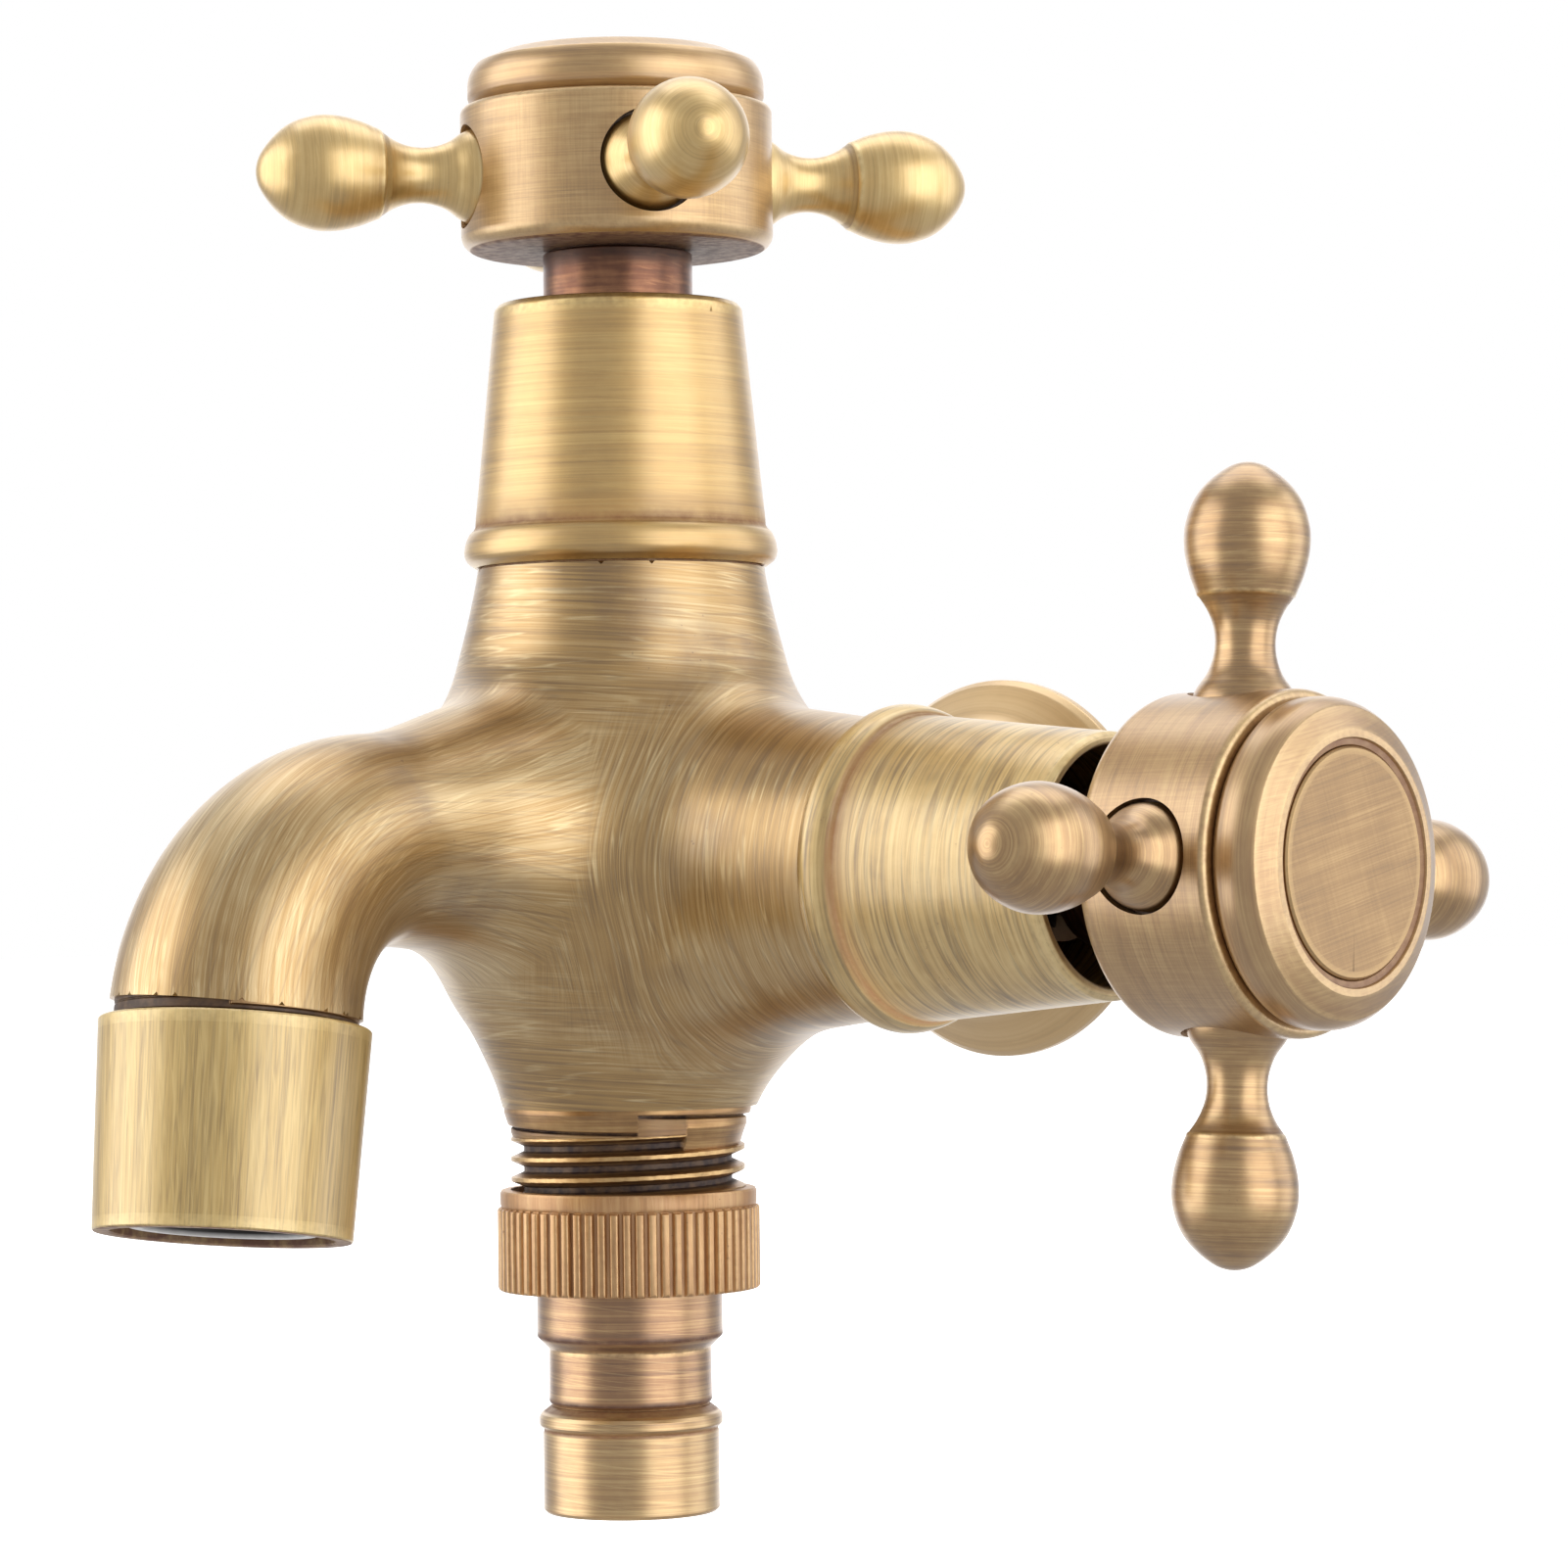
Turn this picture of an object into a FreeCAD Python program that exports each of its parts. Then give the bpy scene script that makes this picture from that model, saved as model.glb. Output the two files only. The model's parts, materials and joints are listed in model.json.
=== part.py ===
import FreeCAD, Part
import math
import os
import Sketcher
from FreeCAD import Placement, Rotation, Vector

# Wall tap with two cross handles and two outlets.
# Frame: origin where the inlet axis meets the wall, +Z up, the spout points to -Y,
# the side handle points to +X. Millimetres.

doc = FreeCAD.newDocument("CrossHandleTap")
sheet = doc.addObject("Spreadsheet::Sheet", "Sizes")
SIZES = [
    # body
    ("wall_offset", 55.0, "wall face to the crossing of the tap's axes"),
    ("upper_seat", 27.2, "crossing to the upper neck face"),
    ("side_seat", 31.85, "crossing to the side neck face"),
    ("neck_radius", 12.87, "outer radius of both necks"),
    ("core_radius", 17.0, "radius of the branches at the crossing"),
    ("socket_thread_radius", 10.53, "cartridge socket, threaded part"),
    ("socket_thread_depth", 8.2, "depth of the threaded part"),
    ("socket_radius", 9.6, "cartridge socket below the thread"),
    ("socket_depth", 17.6, "neck face to the socket floor"),
    ("port_radius", 4.0, "port in the socket floor"),
    ("inlet_bore", 6.2, "inlet and chamber radius"),
    ("spout_bore", 6.4, "spout water way radius"),
    ("outlet_bore", 7.0, "lower outlet water way radius"),
    # pipe threads, half inch parallel
    ("thread_radius", 10.4775, "crest radius of the half inch pipe thread"),
    ("thread_pitch", 1.8143, "pitch"),
    ("thread_depth", 1.16, "thread height"),
    ("thread_crest", 0.30, "flat left on the crest"),
    ("shank_shoulder", 43.0, "crossing to the end of the plain rear branch"),
    ("shank_radius", 10.95, "plain shank that carries the wall flange"),
    ("inlet_thread_start", 53.0, "crossing to the start of the inlet thread"),
    ("shank_end", 67.514, "crossing to the end of the inlet thread"),
    ("rear_radius", 12.4, "rear branch radius"),
    ("lower_thread_top", 23.9, "crossing down to the first thread turn"),
    ("lower_thread_end", 32.9, "crossing down to the end of the lower outlet"),
    # spout
    ("spout_rise", 4.59, "spout centre line above the crossing"),
    ("spout_run", 31.77, "crossing to the start of the bend"),
    ("bend_start_height", 2.95, "centre line height there"),
    ("spout_end_out", 47.14, "crossing to the spout end, along -Y"),
    ("spout_end_down", 11.0, "crossing down to the spout end"),
    ("outlet_tilt", 8.5, "degrees the outlet leans outward"),
    ("outlet_lean", 3.2, "degrees the turned nose leans towards the side handle"),
    ("spout_root_radius", 14.88, "spout radius at the crossing"),
    ("spout_waist_radius", 9.1, "spout radius at the start of the bend"),
    ("spout_end_radius", 10.48, "spout radius at its end"),
    ("spout_groove_radius", 10.1, "turned groove above the collar"),
    ("spout_nose_radius", 9.6, "threaded nose inside the collar"),
    ("nose_bore", 6.65, "water way radius in the turned nose"),
    ("spout_nose_length", 8.6, "nose length below the groove"),
    ("groove_height", 1.2, "groove height"),
    # outlet collar and aerator
    ("collar_top_radius", 11.3, "collar radius at the top"),
    ("collar_bottom_radius", 10.7, "collar radius at the bottom"),
    ("collar_length", 17.6, "collar length"),
    ("collar_bore", 9.66, "collar bore"),
    ("collar_lip", 9.3, "bore of the bottom lip"),
    # bonnets
    ("ring_radius", 14.03, "bead ring radius"),
    ("ring_height", 3.75, "bead ring height"),
    ("bonnet_base_radius", 13.04, "cone radius above the ring"),
    ("bonnet_top_radius", 11.14, "cone radius at the mouth"),
    ("bonnet_length", 23.77, "neck face to the mouth"),
    ("bonnet_bore", 10.05, "bore at the mouth"),
    # handles
    ("upper_handle_stand", 28.6, "neck face to the hub, upper handle"),
    ("side_handle_stand", 29.8, "neck face to the hub, side handle"),
    ("upper_handle_turn", 56.55, "degrees, rest position of the upper cross"),
    ("side_handle_turn", 3.15, "degrees, rest position of the side cross"),
    ("hub_radius", 14.02, "hub radius"),
    ("hub_height", 12.97, "hub height"),
    ("cap_radius", 13.33, "cap radius"),
    ("cap_height", 4.75, "cap height above the hub"),
    ("cap_round", 2.9, "rounding of the cap"),
    ("disc_radius", 9.3, "centre disc radius"),
    ("spoke_height", 6.48, "spoke axis above the hub base"),
    ("spoke_reach", 32.7, "axis of the hub to a spoke tip"),
    ("spoke_ball_radius", 5.14, "largest spoke radius"),
    ("spoke_neck_radius", 2.46, "smallest spoke radius"),
    ("spoke_hole", 4.62, "counterbore in the hub"),
    ("spoke_stud", 2.5, "stud radius"),
    ("bush_radius", 6.7, "stem bush radius"),
    ("stem_radius", 4.0, "valve stem radius"),
    # hose union
    ("nut_flange_radius", 11.49, "plain flange of the nut"),
    ("nut_flange_height", 1.6, "height of the plain flange"),
    ("knurl_radius", 11.74, "knurled part of the nut"),
    ("nut_top", 28.25, "crossing down to the nut"),
    ("nut_bottom", 37.25, "crossing down to the nut's lower face"),
    ("knurl_count", 64, "flutes"),
    ("nozzle_shoulder", 8.3, "nozzle shoulder radius"),
    ("nozzle_neck", 7.24, "nozzle neck radius"),
    ("nozzle_ring", 8.2, "nozzle ring radius"),
    ("nozzle_tail", 7.87, "nozzle tail radius"),
    ("nozzle_end", 57.1, "crossing down to the nozzle's end"),
    ("nozzle_bore", 5.2, "nozzle bore radius"),
    # wall flange
    ("flange_radius", 18.4, "wall flange radius"),
    ("flange_rim", 3.1, "thickness at the rim"),
]
for row, (name, value, note) in enumerate(SIZES, 1):
    sheet.set(f"A{row}", name)
    sheet.set(f"B{row}", str(value))
    sheet.setAlias(f"B{row}", name)
    sheet.set(f"C{row}", note)
doc.recompute()


class Dim:
    """A size that carries its value and the sheet formula it comes from."""

    def __init__(self, value, text):
        self.value = float(value)
        self.text = text

    def _with(self, other, value, sign):
        o = dim(other)
        return Dim(value(self.value, o.value), f"({self.text} {sign} {o.text})")

    def __add__(self, o):
        return self._with(o, lambda a, b: a + b, "+")

    def __sub__(self, o):
        return self._with(o, lambda a, b: a - b, "-")

    def __mul__(self, o):
        return self._with(o, lambda a, b: a * b, "*")

    def __truediv__(self, o):
        return self._with(o, lambda a, b: a / b, "/")

    def __radd__(self, o):
        return dim(o) + self

    def __rsub__(self, o):
        return dim(o) - self

    def __rmul__(self, o):
        return dim(o) * self

    def __neg__(self):
        return Dim(-self.value, f"(0 - {self.text})")


def dim(x):
    return x if isinstance(x, Dim) else Dim(x, f"{float(x):.6g}")


class Names:
    def __getattr__(self, name):
        return Dim(float(sheet.get(name)), f"Sizes.{name}")


S = Names()
PARTS = []


def plane_of(body, role):
    return [f for f in body.Origin.OriginFeatures if f.Role == role][0]


def new_body(label):
    body = doc.addObject("PartDesign::Body", label)
    body.Label = label
    PARTS.append(body)
    return body


def new_sketch(body, name, role="XZ_Plane", lift=0.0):
    sk = body.newObject("Sketcher::SketchObject", name)
    sk.AttachmentSupport = [(plane_of(body, role), "")]
    sk.MapMode = "FlatFace"
    if lift:
        sk.AttachmentOffset = Placement(Vector(0, 0, lift), Rotation())
    return sk


def bind(obj, prop, size):
    obj.setExpression(prop, dim(size).text)


def outline(sk, points):
    """A closed outline. Each point is (x, y) or (x, y, radius), where the radius makes
    the run to the next point an arc: positive turns left, negative turns right."""
    n = len(points)
    xy = [(dim(p[0]), dim(p[1])) for p in points]
    where = []
    for i in range(n):
        a = Vector(xy[i][0].value, xy[i][1].value, 0)
        j = (i + 1) % n
        b = Vector(xy[j][0].value, xy[j][1].value, 0)
        if len(points[i]) > 2:
            r = dim(points[i][2])
            d = b - a
            mid = (a + b) * 0.5
            left = Vector(-d.y, d.x, 0).normalize()
            off = math.sqrt(max(r.value ** 2 - (d.Length / 2) ** 2, 0.0))
            c = mid + left * (off if r.value > 0 else -off)
            s, e = (a, b) if r.value > 0 else (b, a)
            a0 = math.atan2(s.y - c.y, s.x - c.x)
            a1 = math.atan2(e.y - c.y, e.x - c.x)
            if a1 <= a0:
                a1 += 2 * math.pi
            g = sk.addGeometry(
                Part.ArcOfCircle(Part.Circle(c, Vector(0, 0, 1), abs(r.value)), a0, a1), False
            )
            where.append((g, 1, 2) if r.value > 0 else (g, 2, 1))
        else:
            g = sk.addGeometry(Part.LineSegment(a, b), False)
            where.append((g, 1, 2))
    for i in range(n):
        g, first, last = where[i]
        h, hfirst, hlast = where[(i + 1) % n]
        sk.addConstraint(Sketcher.Constraint("Coincident", g, last, h, hfirst))
    for i in range(n):
        g, first, last = where[i]
        for kind, size, axis in (("DistanceX", xy[i][0], -2), ("DistanceY", xy[i][1], -1)):
            if abs(size.value) < 1e-9:
                sk.addConstraint(Sketcher.Constraint("PointOnObject", g, first, axis))
            else:
                k = sk.addConstraint(Sketcher.Constraint(kind, -1, 1, g, first, size.value))
                if "Sizes." in size.text:
                    sk.setExpression(f"Constraints[{k}]", size.text)
        if len(points[i]) > 2:
            r = dim(points[i][2])
            k = sk.addConstraint(Sketcher.Constraint("Radius", g, abs(r.value)))
            if "Sizes." in r.text:
                sk.setExpression(f"Constraints[{k}]", r.text if r.value > 0 else (-r).text)


def circle(sk, x, y, r):
    x, y, r = dim(x), dim(y), dim(r)
    g = sk.addGeometry(Part.Circle(Vector(x.value, y.value, 0), Vector(0, 0, 1), r.value), False)
    for kind, size, axis in (("DistanceX", x, -2), ("DistanceY", y, -1)):
        if abs(size.value) < 1e-9:
            sk.addConstraint(Sketcher.Constraint("PointOnObject", g, 3, axis))
        else:
            k = sk.addConstraint(Sketcher.Constraint(kind, -1, 1, g, 3, size.value))
            if "Sizes." in size.text:
                sk.setExpression(f"Constraints[{k}]", size.text)
    k = sk.addConstraint(Sketcher.Constraint("Radius", g, r.value))
    if "Sizes." in r.text:
        sk.setExpression(f"Constraints[{k}]", r.text)


def turned(label, points):
    """A body revolved about its own Z axis from an outline of (radius, height) points."""
    body = new_body(label)
    sk = new_sketch(body, label + "_profile")
    outline(sk, points)
    rev = body.newObject("PartDesign::Revolution", label + "_turned")
    rev.Profile = sk
    rev.ReferenceAxis = (sk, ["V_Axis"])
    rev.Angle = 360
    body.Tip = rev
    return body


def pocket(body, name, role, draw, depth=None, lift=0.0, reverse=False, both=False):
    """A pocket cut from a sketch on an origin plane; the volume must go down."""
    doc.recompute()
    before = body.Tip.Shape.Volume
    sk = new_sketch(body, name + "_sketch", role, lift)
    draw(sk)
    cut = body.newObject("PartDesign::Pocket", name)
    cut.Profile = sk
    if depth is None:
        cut.Type = 1
    else:
        cut.Type = 0
        bind(cut, "Length", depth)
    cut.Reversed = reverse
    if both:
        cut.Midplane = True
    body.Tip = cut
    doc.recompute()
    if not cut.Shape.Volume < before - 1e-3:
        raise RuntimeError(f"{body.Label}: {name} cut nothing")
    return cut


def around(body, feature, count, name):
    pat = body.newObject("PartDesign::PolarPattern", name)
    pat.Originals = [feature]
    pat.Axis = (plane_of(body, "Z_Axis"), [""])
    pat.Angle = 360
    if isinstance(count, Dim):
        pat.Occurrences = int(count.value)
        pat.setExpression("Occurrences", count.text)
    else:
        pat.Occurrences = count
    before = body.Tip.Shape.Volume
    body.Tip = pat
    doc.recompute()
    if not pat.Shape.Volume < before - 1e-3:
        raise RuntimeError(f"{body.Label}: {name} cut nothing")
    return pat


def plain(label, shape, place=None):
    """A piece whose shape is worked out from the sheet's sizes."""
    obj = doc.addObject("Part::Feature", label)
    obj.Label = label
    obj.Shape = shape
    obj.Placement = place or Placement()
    PARTS.append(obj)
    return obj


def v(name):
    return float(sheet.get(name))


W = v("wall_offset")
CENTRE = Vector(0, -W, 0)


# ---------------------------------------------------------------- body casting
def lathe(points, closed_on_axis=True):
    """A solid of revolution about Z through (radius, height) points joined by a smooth line."""
    pts = [Vector(r, 0, z) for r, z in points]
    curve = Part.BSplineCurve()
    curve.interpolate(pts)
    edges = [
        Part.LineSegment(Vector(0, 0, pts[0].z), pts[0]).toShape(),
        curve.toShape(),
        Part.LineSegment(pts[-1], Vector(0, 0, pts[-1].z)).toShape(),
        Part.LineSegment(Vector(0, 0, pts[-1].z), Vector(0, 0, pts[0].z)).toShape(),
    ]
    face = Part.Face(Part.Wire(Part.__sortEdges__(edges)))
    return face.revolve(Vector(0, 0, 0), Vector(0, 0, 1), 360)


def cyl(r, length, base, axis):
    return Part.makeCylinder(r, length, base, axis)


X, Y, Z = Vector(1, 0, 0), Vector(0, 1, 0), Vector(0, 0, 1)
TO_X = Rotation(Vector(0, 1, 0), 90)
TO_BACK = Rotation(Vector(1, 0, 0), -90)
TO_DOWN = Rotation(Vector(1, 0, 0), 180)


def turned_to(shape, rotation):
    s = shape.copy()
    s.Placement = Placement(Vector(), rotation).multiply(s.Placement)
    return s


def pipe_thread(turns, rows=1):
    """A male half inch pipe thread about Z, from height 0 up, cut from a plain bar.
    A row is `turns` whole turns long, so equal rows stack into one long thread."""
    r, p, h, flat = v("thread_radius"), v("thread_pitch"), v("thread_depth"), v("thread_crest")
    bar = cyl(r, p * turns, Vector(), Z)
    half = (p - flat) / 2
    tip = 0.18
    # the groove is drawn a little past the crest, on the same flank lines
    over = 0.4
    grow = half + (half - tip) * over / h
    prof = Part.makePolygon(
        [
            Vector(r - h, 0, -tip),
            Vector(r + over, 0, -grow),
            Vector(r + over, 0, grow),
            Vector(r - h, 0, tip),
            Vector(r - h, 0, -tip),
        ]
    )
    helix = Part.makeLongHelix(p, p * (turns + 1.6), r)
    groove = Part.Wire(helix).makePipeShell([prof], True, True)
    groove.translate(Vector(0, 0, -0.8 * p))
    cut = bar.cut(groove)
    share = cut.Volume / bar.Volume
    if len(cut.Solids) != 1 or not 0.8 < share < 0.95:
        raise RuntimeError(f"thread of {turns} turns came out wrong: {share}")
    one = cut.Solids[0]
    if rows == 1:
        return one
    more = []
    for k in range(1, rows):
        c = one.copy()
        c.translate(Vector(0, 0, k * p * turns))
        more.append(c)
    whole = one.fuse(more)
    if len(whole.Solids) != 1 or abs(whole.Volume / (one.Volume * rows) - 1) > 1e-3:
        raise RuntimeError("stacked thread came out wrong")
    return whole


def spout_line():
    """Centre line of the spout in its own plane: start, bend start, bend middle, end,
    and the direction its turned nose leaves in. Points are (out, up), the direction also has
    a side component."""
    tilt, lean = math.radians(v("outlet_tilt")), math.radians(v("outlet_lean"))
    end = (v("spout_end_out"), -v("spout_end_down"))
    start = (0.0, v("spout_rise"))
    bend = (v("spout_run"), v("bend_start_height"))
    leave = (math.sin(tilt) * math.cos(lean), -math.cos(tilt) * math.cos(lean), math.sin(lean))
    return start, bend, end, leave


def at(out, up, side=0.0):
    return Vector(side, -out, up)


def spout_path():
    start, bend, end, leave = spout_line()
    a, b, e = at(*start), at(*bend), at(*end)
    go = Vector(b - a).normalize()
    out = at(leave[0], leave[1], leave[2]).normalize()
    # arc that leaves b along `go` and ends at e: its middle point comes from the tangent circle
    chord = e - b
    normal = Vector(1, 0, 0).cross(go)
    if normal.dot(chord) < 0:
        normal = normal * -1
    radius = chord.dot(chord) / (2 * chord.dot(normal))
    centre = b + normal * radius
    m = ((b + e) * 0.5 - centre).normalize()
    mid = centre + m * radius
    return a, b, mid, e, centre, radius, out


def spout_solid(grow, straight=0.0, lead=0.0):
    """The spout as a chain of sections along its centre line, each radius less `grow`."""
    a, b, mid, e, centre, radius, out = spout_path()
    r0, r1, r2 = v("spout_root_radius"), v("spout_waist_radius"), v("spout_end_radius")
    go = (b - a).normalize()
    rings = []
    for t in (0.0, 0.18, 0.36, 0.55, 0.75, 0.9):
        rr = r0 + (r1 - r0) * t
        rings.append((a + (b - a) * t, go, rr))
    t0 = b - centre
    t1 = e - centre
    total = t0.getAngle(t1)
    n = 7
    for k in range(n + 1):
        ang = total * k / n
        rot = Rotation(Vector(1, 0, 0), math.degrees(ang))
        p = centre + rot.multVec(t0)
        d = rot.multVec(go)
        f = k / n
        ease = f * f * (3 - 2 * f)
        rings.append((p, d, r1 + (r2 - r1) * (0.55 * f + 0.45 * ease)))
    wires = [Part.Wire(Part.makeCircle(max(r - grow, 0.5), p, d)) for p, d, r in rings]
    return Part.makeLoft(wires, True, False)


def make_body():
    neck, core = v("neck_radius"), v("core_radius")
    up, side = v("upper_seat"), v("side_seat")
    upper = lathe([(core, 0), (core - 0.1, 7.5), (16.2, 13.2), (15.1, 17.6), (14.15, 21.2), (13.35, 24.6), (neck, up)])
    right = lathe([(core, 0), (core - 0.2, 8.0), (15.6, 14.0), (14.4, 19.5), (13.6, 25.0), (13.1, 29.0), (neck, side)])
    t = v("lower_thread_top")
    lower = lathe([(core, 0), (core - 0.1, 7.0), (15.6, 11.0), (13.9, 13.6), (12.6, 16.4), (11.7, 18.9), (10.9, 21.9), (10.2, t)])
    rear = lathe([(core - 1.0, 0), (15.2, 8.0), (13.6, 16.0), (12.7, 26.0), (v("rear_radius"), v("shank_shoulder"))])
    solid = upper.fuse(
        [
            turned_to(right, TO_X),
            turned_to(lower, TO_DOWN),
            turned_to(rear, TO_BACK),
            spout_solid(0.0),
            Part.makeSphere(core + 0.05),
        ]
    )
    # turned nose of the spout: groove, then the threaded part inside the collar
    a, b, mid, e, centre, radius, out = spout_path()
    gh = v("groove_height")
    nose = cyl(v("spout_groove_radius"), gh + 1.0, e - out, out).fuse(
        cyl(v("spout_nose_radius"), v("spout_nose_length"), e + out * gh, out)
    )
    solid = solid.fuse(nose)
    # lower outlet thread and inlet thread
    lower_thread = pipe_thread(5)
    lower_thread.Placement = Placement(Vector(0, 0, -v("lower_thread_end")), Rotation())
    relief = cyl(9.4, 1.6, Vector(0, 0, -t - 0.8), Z)
    solid = solid.fuse([lower_thread, relief])
    inlet_thread = turned_to(pipe_thread(4, 2), TO_BACK)
    begin = v("inlet_thread_start")
    inlet_thread.translate(Vector(0, begin, 0))
    shank = cyl(v("shank_radius"), begin - 0.9 - v("shank_shoulder") + 0.5, Vector(0, v("shank_shoulder") - 0.5, 0), Y)
    relief = cyl(9.4, 1.6, Vector(0, begin - 1.3, 0), Y)
    solid = solid.fuse([inlet_thread, shank, relief])
    # sockets for the two valves
    cuts = []
    for axis, seat in ((Z, up), (X, side)):
        cuts.append(cyl(v("socket_thread_radius"), v("socket_thread_depth") + 1, axis * (seat - v("socket_thread_depth")), axis))
        cuts.append(cyl(v("socket_radius"), v("socket_depth"), axis * (seat - v("socket_depth")), axis))
        cuts.append(cyl(v("port_radius"), seat - v("socket_depth") + 1, Vector(), axis))
    # inlet water way and the chamber behind both ports
    cuts.append(cyl(v("inlet_bore"), v("shank_end") + 1, Vector(), Y))
    cuts.append(Part.makeSphere(v("inlet_bore")))
    # spout water way: straight run, bend and outlet, fed from the upper socket
    bore = v("spout_bore")
    go = (b - a).normalize()
    first = a + go * (14.5 / go.dot(Vector(0, -1, 0)))
    path = Part.Wire(
        [
            Part.LineSegment(first, b).toShape(),
            Part.Arc(b, mid, e).toShape(),
        ]
    )
    ring = Part.Wire(Part.makeCircle(bore, first, go))
    cuts.append(path.makePipeShell([ring], True, True))
    cuts.append(Part.makeSphere(bore, first))
    cuts.append(cyl(v("nose_bore"), gh + v("spout_nose_length") + 1.7, e - out * 0.7, out))
    duct0, duct1 = Vector(0, -8.0, 15.0), Vector(0, -17.0, 5.5)
    cuts.append(cyl(3.6, (duct1 - duct0).Length, duct0, (duct1 - duct0).normalize()))
    # lower outlet water way, fed from the side socket
    cuts.append(cyl(v("outlet_bore"), v("lower_thread_end") + 1 - 17.5, Vector(0, 0, -v("lower_thread_end") - 1), Z))
    duct0, duct1 = Vector(19.5, 0, -8.0), Vector(3.0, 0, -20.0)
    cuts.append(cyl(3.6, (duct1 - duct0).Length, duct0, (duct1 - duct0).normalize()))
    for c in cuts:
        solid = solid.cut(c)
    return solid


casting = plain("body_casting", make_body(), Placement(CENTRE, Rotation()))

# ---------------------------------------------------------------- wall flange
fr = S.flange_radius
wall_flange = turned(
    "wall_flange",
    [
        (S.shank_radius + 0.05, 0),
        (fr - 0.5, 0),
        (fr, 0.5),
        (fr, S.flange_rim - 0.6),
        (fr - 0.6, S.flange_rim),
        (fr - 2.4, S.flange_rim),
        (fr - 2.9, S.flange_rim - 0.35),
        (S.rear_radius + 2.2, S.flange_rim + 1.1),
        (S.rear_radius + 0.8, S.flange_rim + 3.6),
        (S.rear_radius + 0.8, 9.2),
        (S.rear_radius + 0.2, 9.8),
        (S.shank_radius + 0.05, 9.8),
    ],
)
wall_flange.Placement = Placement(Vector(0, 0, 0), Rotation(Vector(1, 0, 0), 90))

# ---------------------------------------------------------------- spout collar and aerator
_a, _b, _m, _e, _c, _r, OUT = spout_path()
COLLAR_AT = _e + OUT * v("groove_height") + CENTRE
COLLAR_TURN = Rotation(Vector(0, 0, 1), OUT)
cl = S.collar_length
collar = turned(
    "spout_collar",
    [
        (S.collar_bore, 0),
        (S.collar_top_radius - 0.25, 0),
        (S.collar_top_radius, 0.25),
        (S.collar_bottom_radius, cl - 0.3),
        (S.collar_bottom_radius - 0.3, cl),
        (S.collar_lip, cl),
        (S.collar_lip, cl - 4.0),
        (S.collar_bore, cl - 4.0),
    ],
)
collar.Placement = Placement(COLLAR_AT, COLLAR_TURN)

nl = S.spout_nose_length
aerator_washer = turned(
    "aerator_washer",
    [(6.9, nl), (S.collar_bore - 0.12, nl), (S.collar_bore - 0.12, nl + 1.2), (6.9, nl + 1.2)],
)
aerator_washer.Placement = Placement(COLLAR_AT, COLLAR_TURN)

# plastic cup: a flange above, a narrower skirt that shows in the outlet
aerator = turned(
    "aerator_housing",
    [
        (7.3, nl + 1.2),
        (S.collar_bore - 0.06, nl + 1.2),
        (S.collar_bore - 0.06, cl - 4.2),
        (8.15, cl - 3.4),
        (8.15, cl - 0.75),
        (7.9, cl - 0.5),
        (6.9, cl - 0.5),
        (6.7, cl - 0.9),
        (6.7, cl - 2.2),
        (7.3, cl - 2.2),
    ],
)
aerator.Placement = Placement(COLLAR_AT, COLLAR_TURN)


def screen():
    ring = cyl(7.25, 0.9, Vector(), Z).cut(cyl(6.5, 0.9, Vector(), Z))
    bars = []
    for k in range(-4, 5):
        o = 1.5 * k
        half = math.sqrt(max(6.8 ** 2 - o ** 2, 0))
        bars.append(Part.makeBox(2 * half, 0.42, 0.42, Vector(-half, o - 0.21, 0)))
        bars.append(Part.makeBox(0.42, 2 * half, 0.42, Vector(o - 0.21, -half, 0.42)))
    return ring.fuse(bars).removeSplitter()


plain("aerator_screen", screen(), Placement(COLLAR_AT + OUT * (v("collar_length") - 3.15), COLLAR_TURN))

# ---------------------------------------------------------------- hose union
nt, nb = -S.nut_top, -S.nut_bottom
nut = turned(
    "hose_nut",
    [
        (S.thread_radius + 0.06, nt),
        (S.nut_flange_radius - 0.3, nt),
        (S.nut_flange_radius, nt - 0.3),
        (S.nut_flange_radius, nt - S.nut_flange_height),
        (S.knurl_radius - 0.12, nt - S.nut_flange_height),
        (S.knurl_radius, nt - S.nut_flange_height - 0.12),
        (S.knurl_radius, nb + 0.25),
        (S.knurl_radius - 0.25, nb),
        (S.nozzle_shoulder + 0.08, nb),
        (S.nozzle_shoulder + 0.08, nb + 1.1),
        (S.thread_radius + 0.06, nb + 1.1),
    ],
)


def flute(sk):
    # one open groove between two ridges, drawn beyond the knurl's edge
    k = S.knurl_radius
    outline(sk, [(k - 0.36, -0.17), (k + 0.4, -0.36), (k + 0.4, 0.36), (k - 0.36, 0.17)])


first = pocket(
    nut, "hose_nut_flute", "XY_Plane", flute,
    depth=S.nut_bottom - S.nut_top - S.nut_flange_height + 0.05,
    lift=-v("nut_bottom") - 0.05, reverse=True,
)
around(nut, first, S.knurl_count, "hose_nut_knurl")
nut.Placement = Placement(CENTRE, Rotation())

ns = S.nozzle_shoulder
nozzle = turned(
    "hose_nozzle",
    [
        (S.nozzle_bore, -S.lower_thread_end - 1.75),
        (S.thread_radius - 0.6, -S.lower_thread_end - 1.75),
        (S.thread_radius - 0.6, nb + 1.15),
        (ns, nb + 1.15),
        (ns, -41.45),
        (S.nozzle_neck, -42.5),
        (S.nozzle_neck + 0.05, -47.2),
        (S.nozzle_neck - 0.15, -47.5),
        (S.nozzle_ring - 0.1, -48.35),
        (S.nozzle_ring, -48.6),
        (S.nozzle_ring, -49.35),
        (S.nozzle_tail - 0.1, -49.75),
        (S.nozzle_tail, -50.1),
        (S.nozzle_tail, -S.nozzle_end + 0.25),
        (S.nozzle_tail - 0.25, -S.nozzle_end),
        (S.nozzle_bore + 0.9, -S.nozzle_end),
        (S.nozzle_bore, -S.nozzle_end + 0.9),
    ],
)
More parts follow.
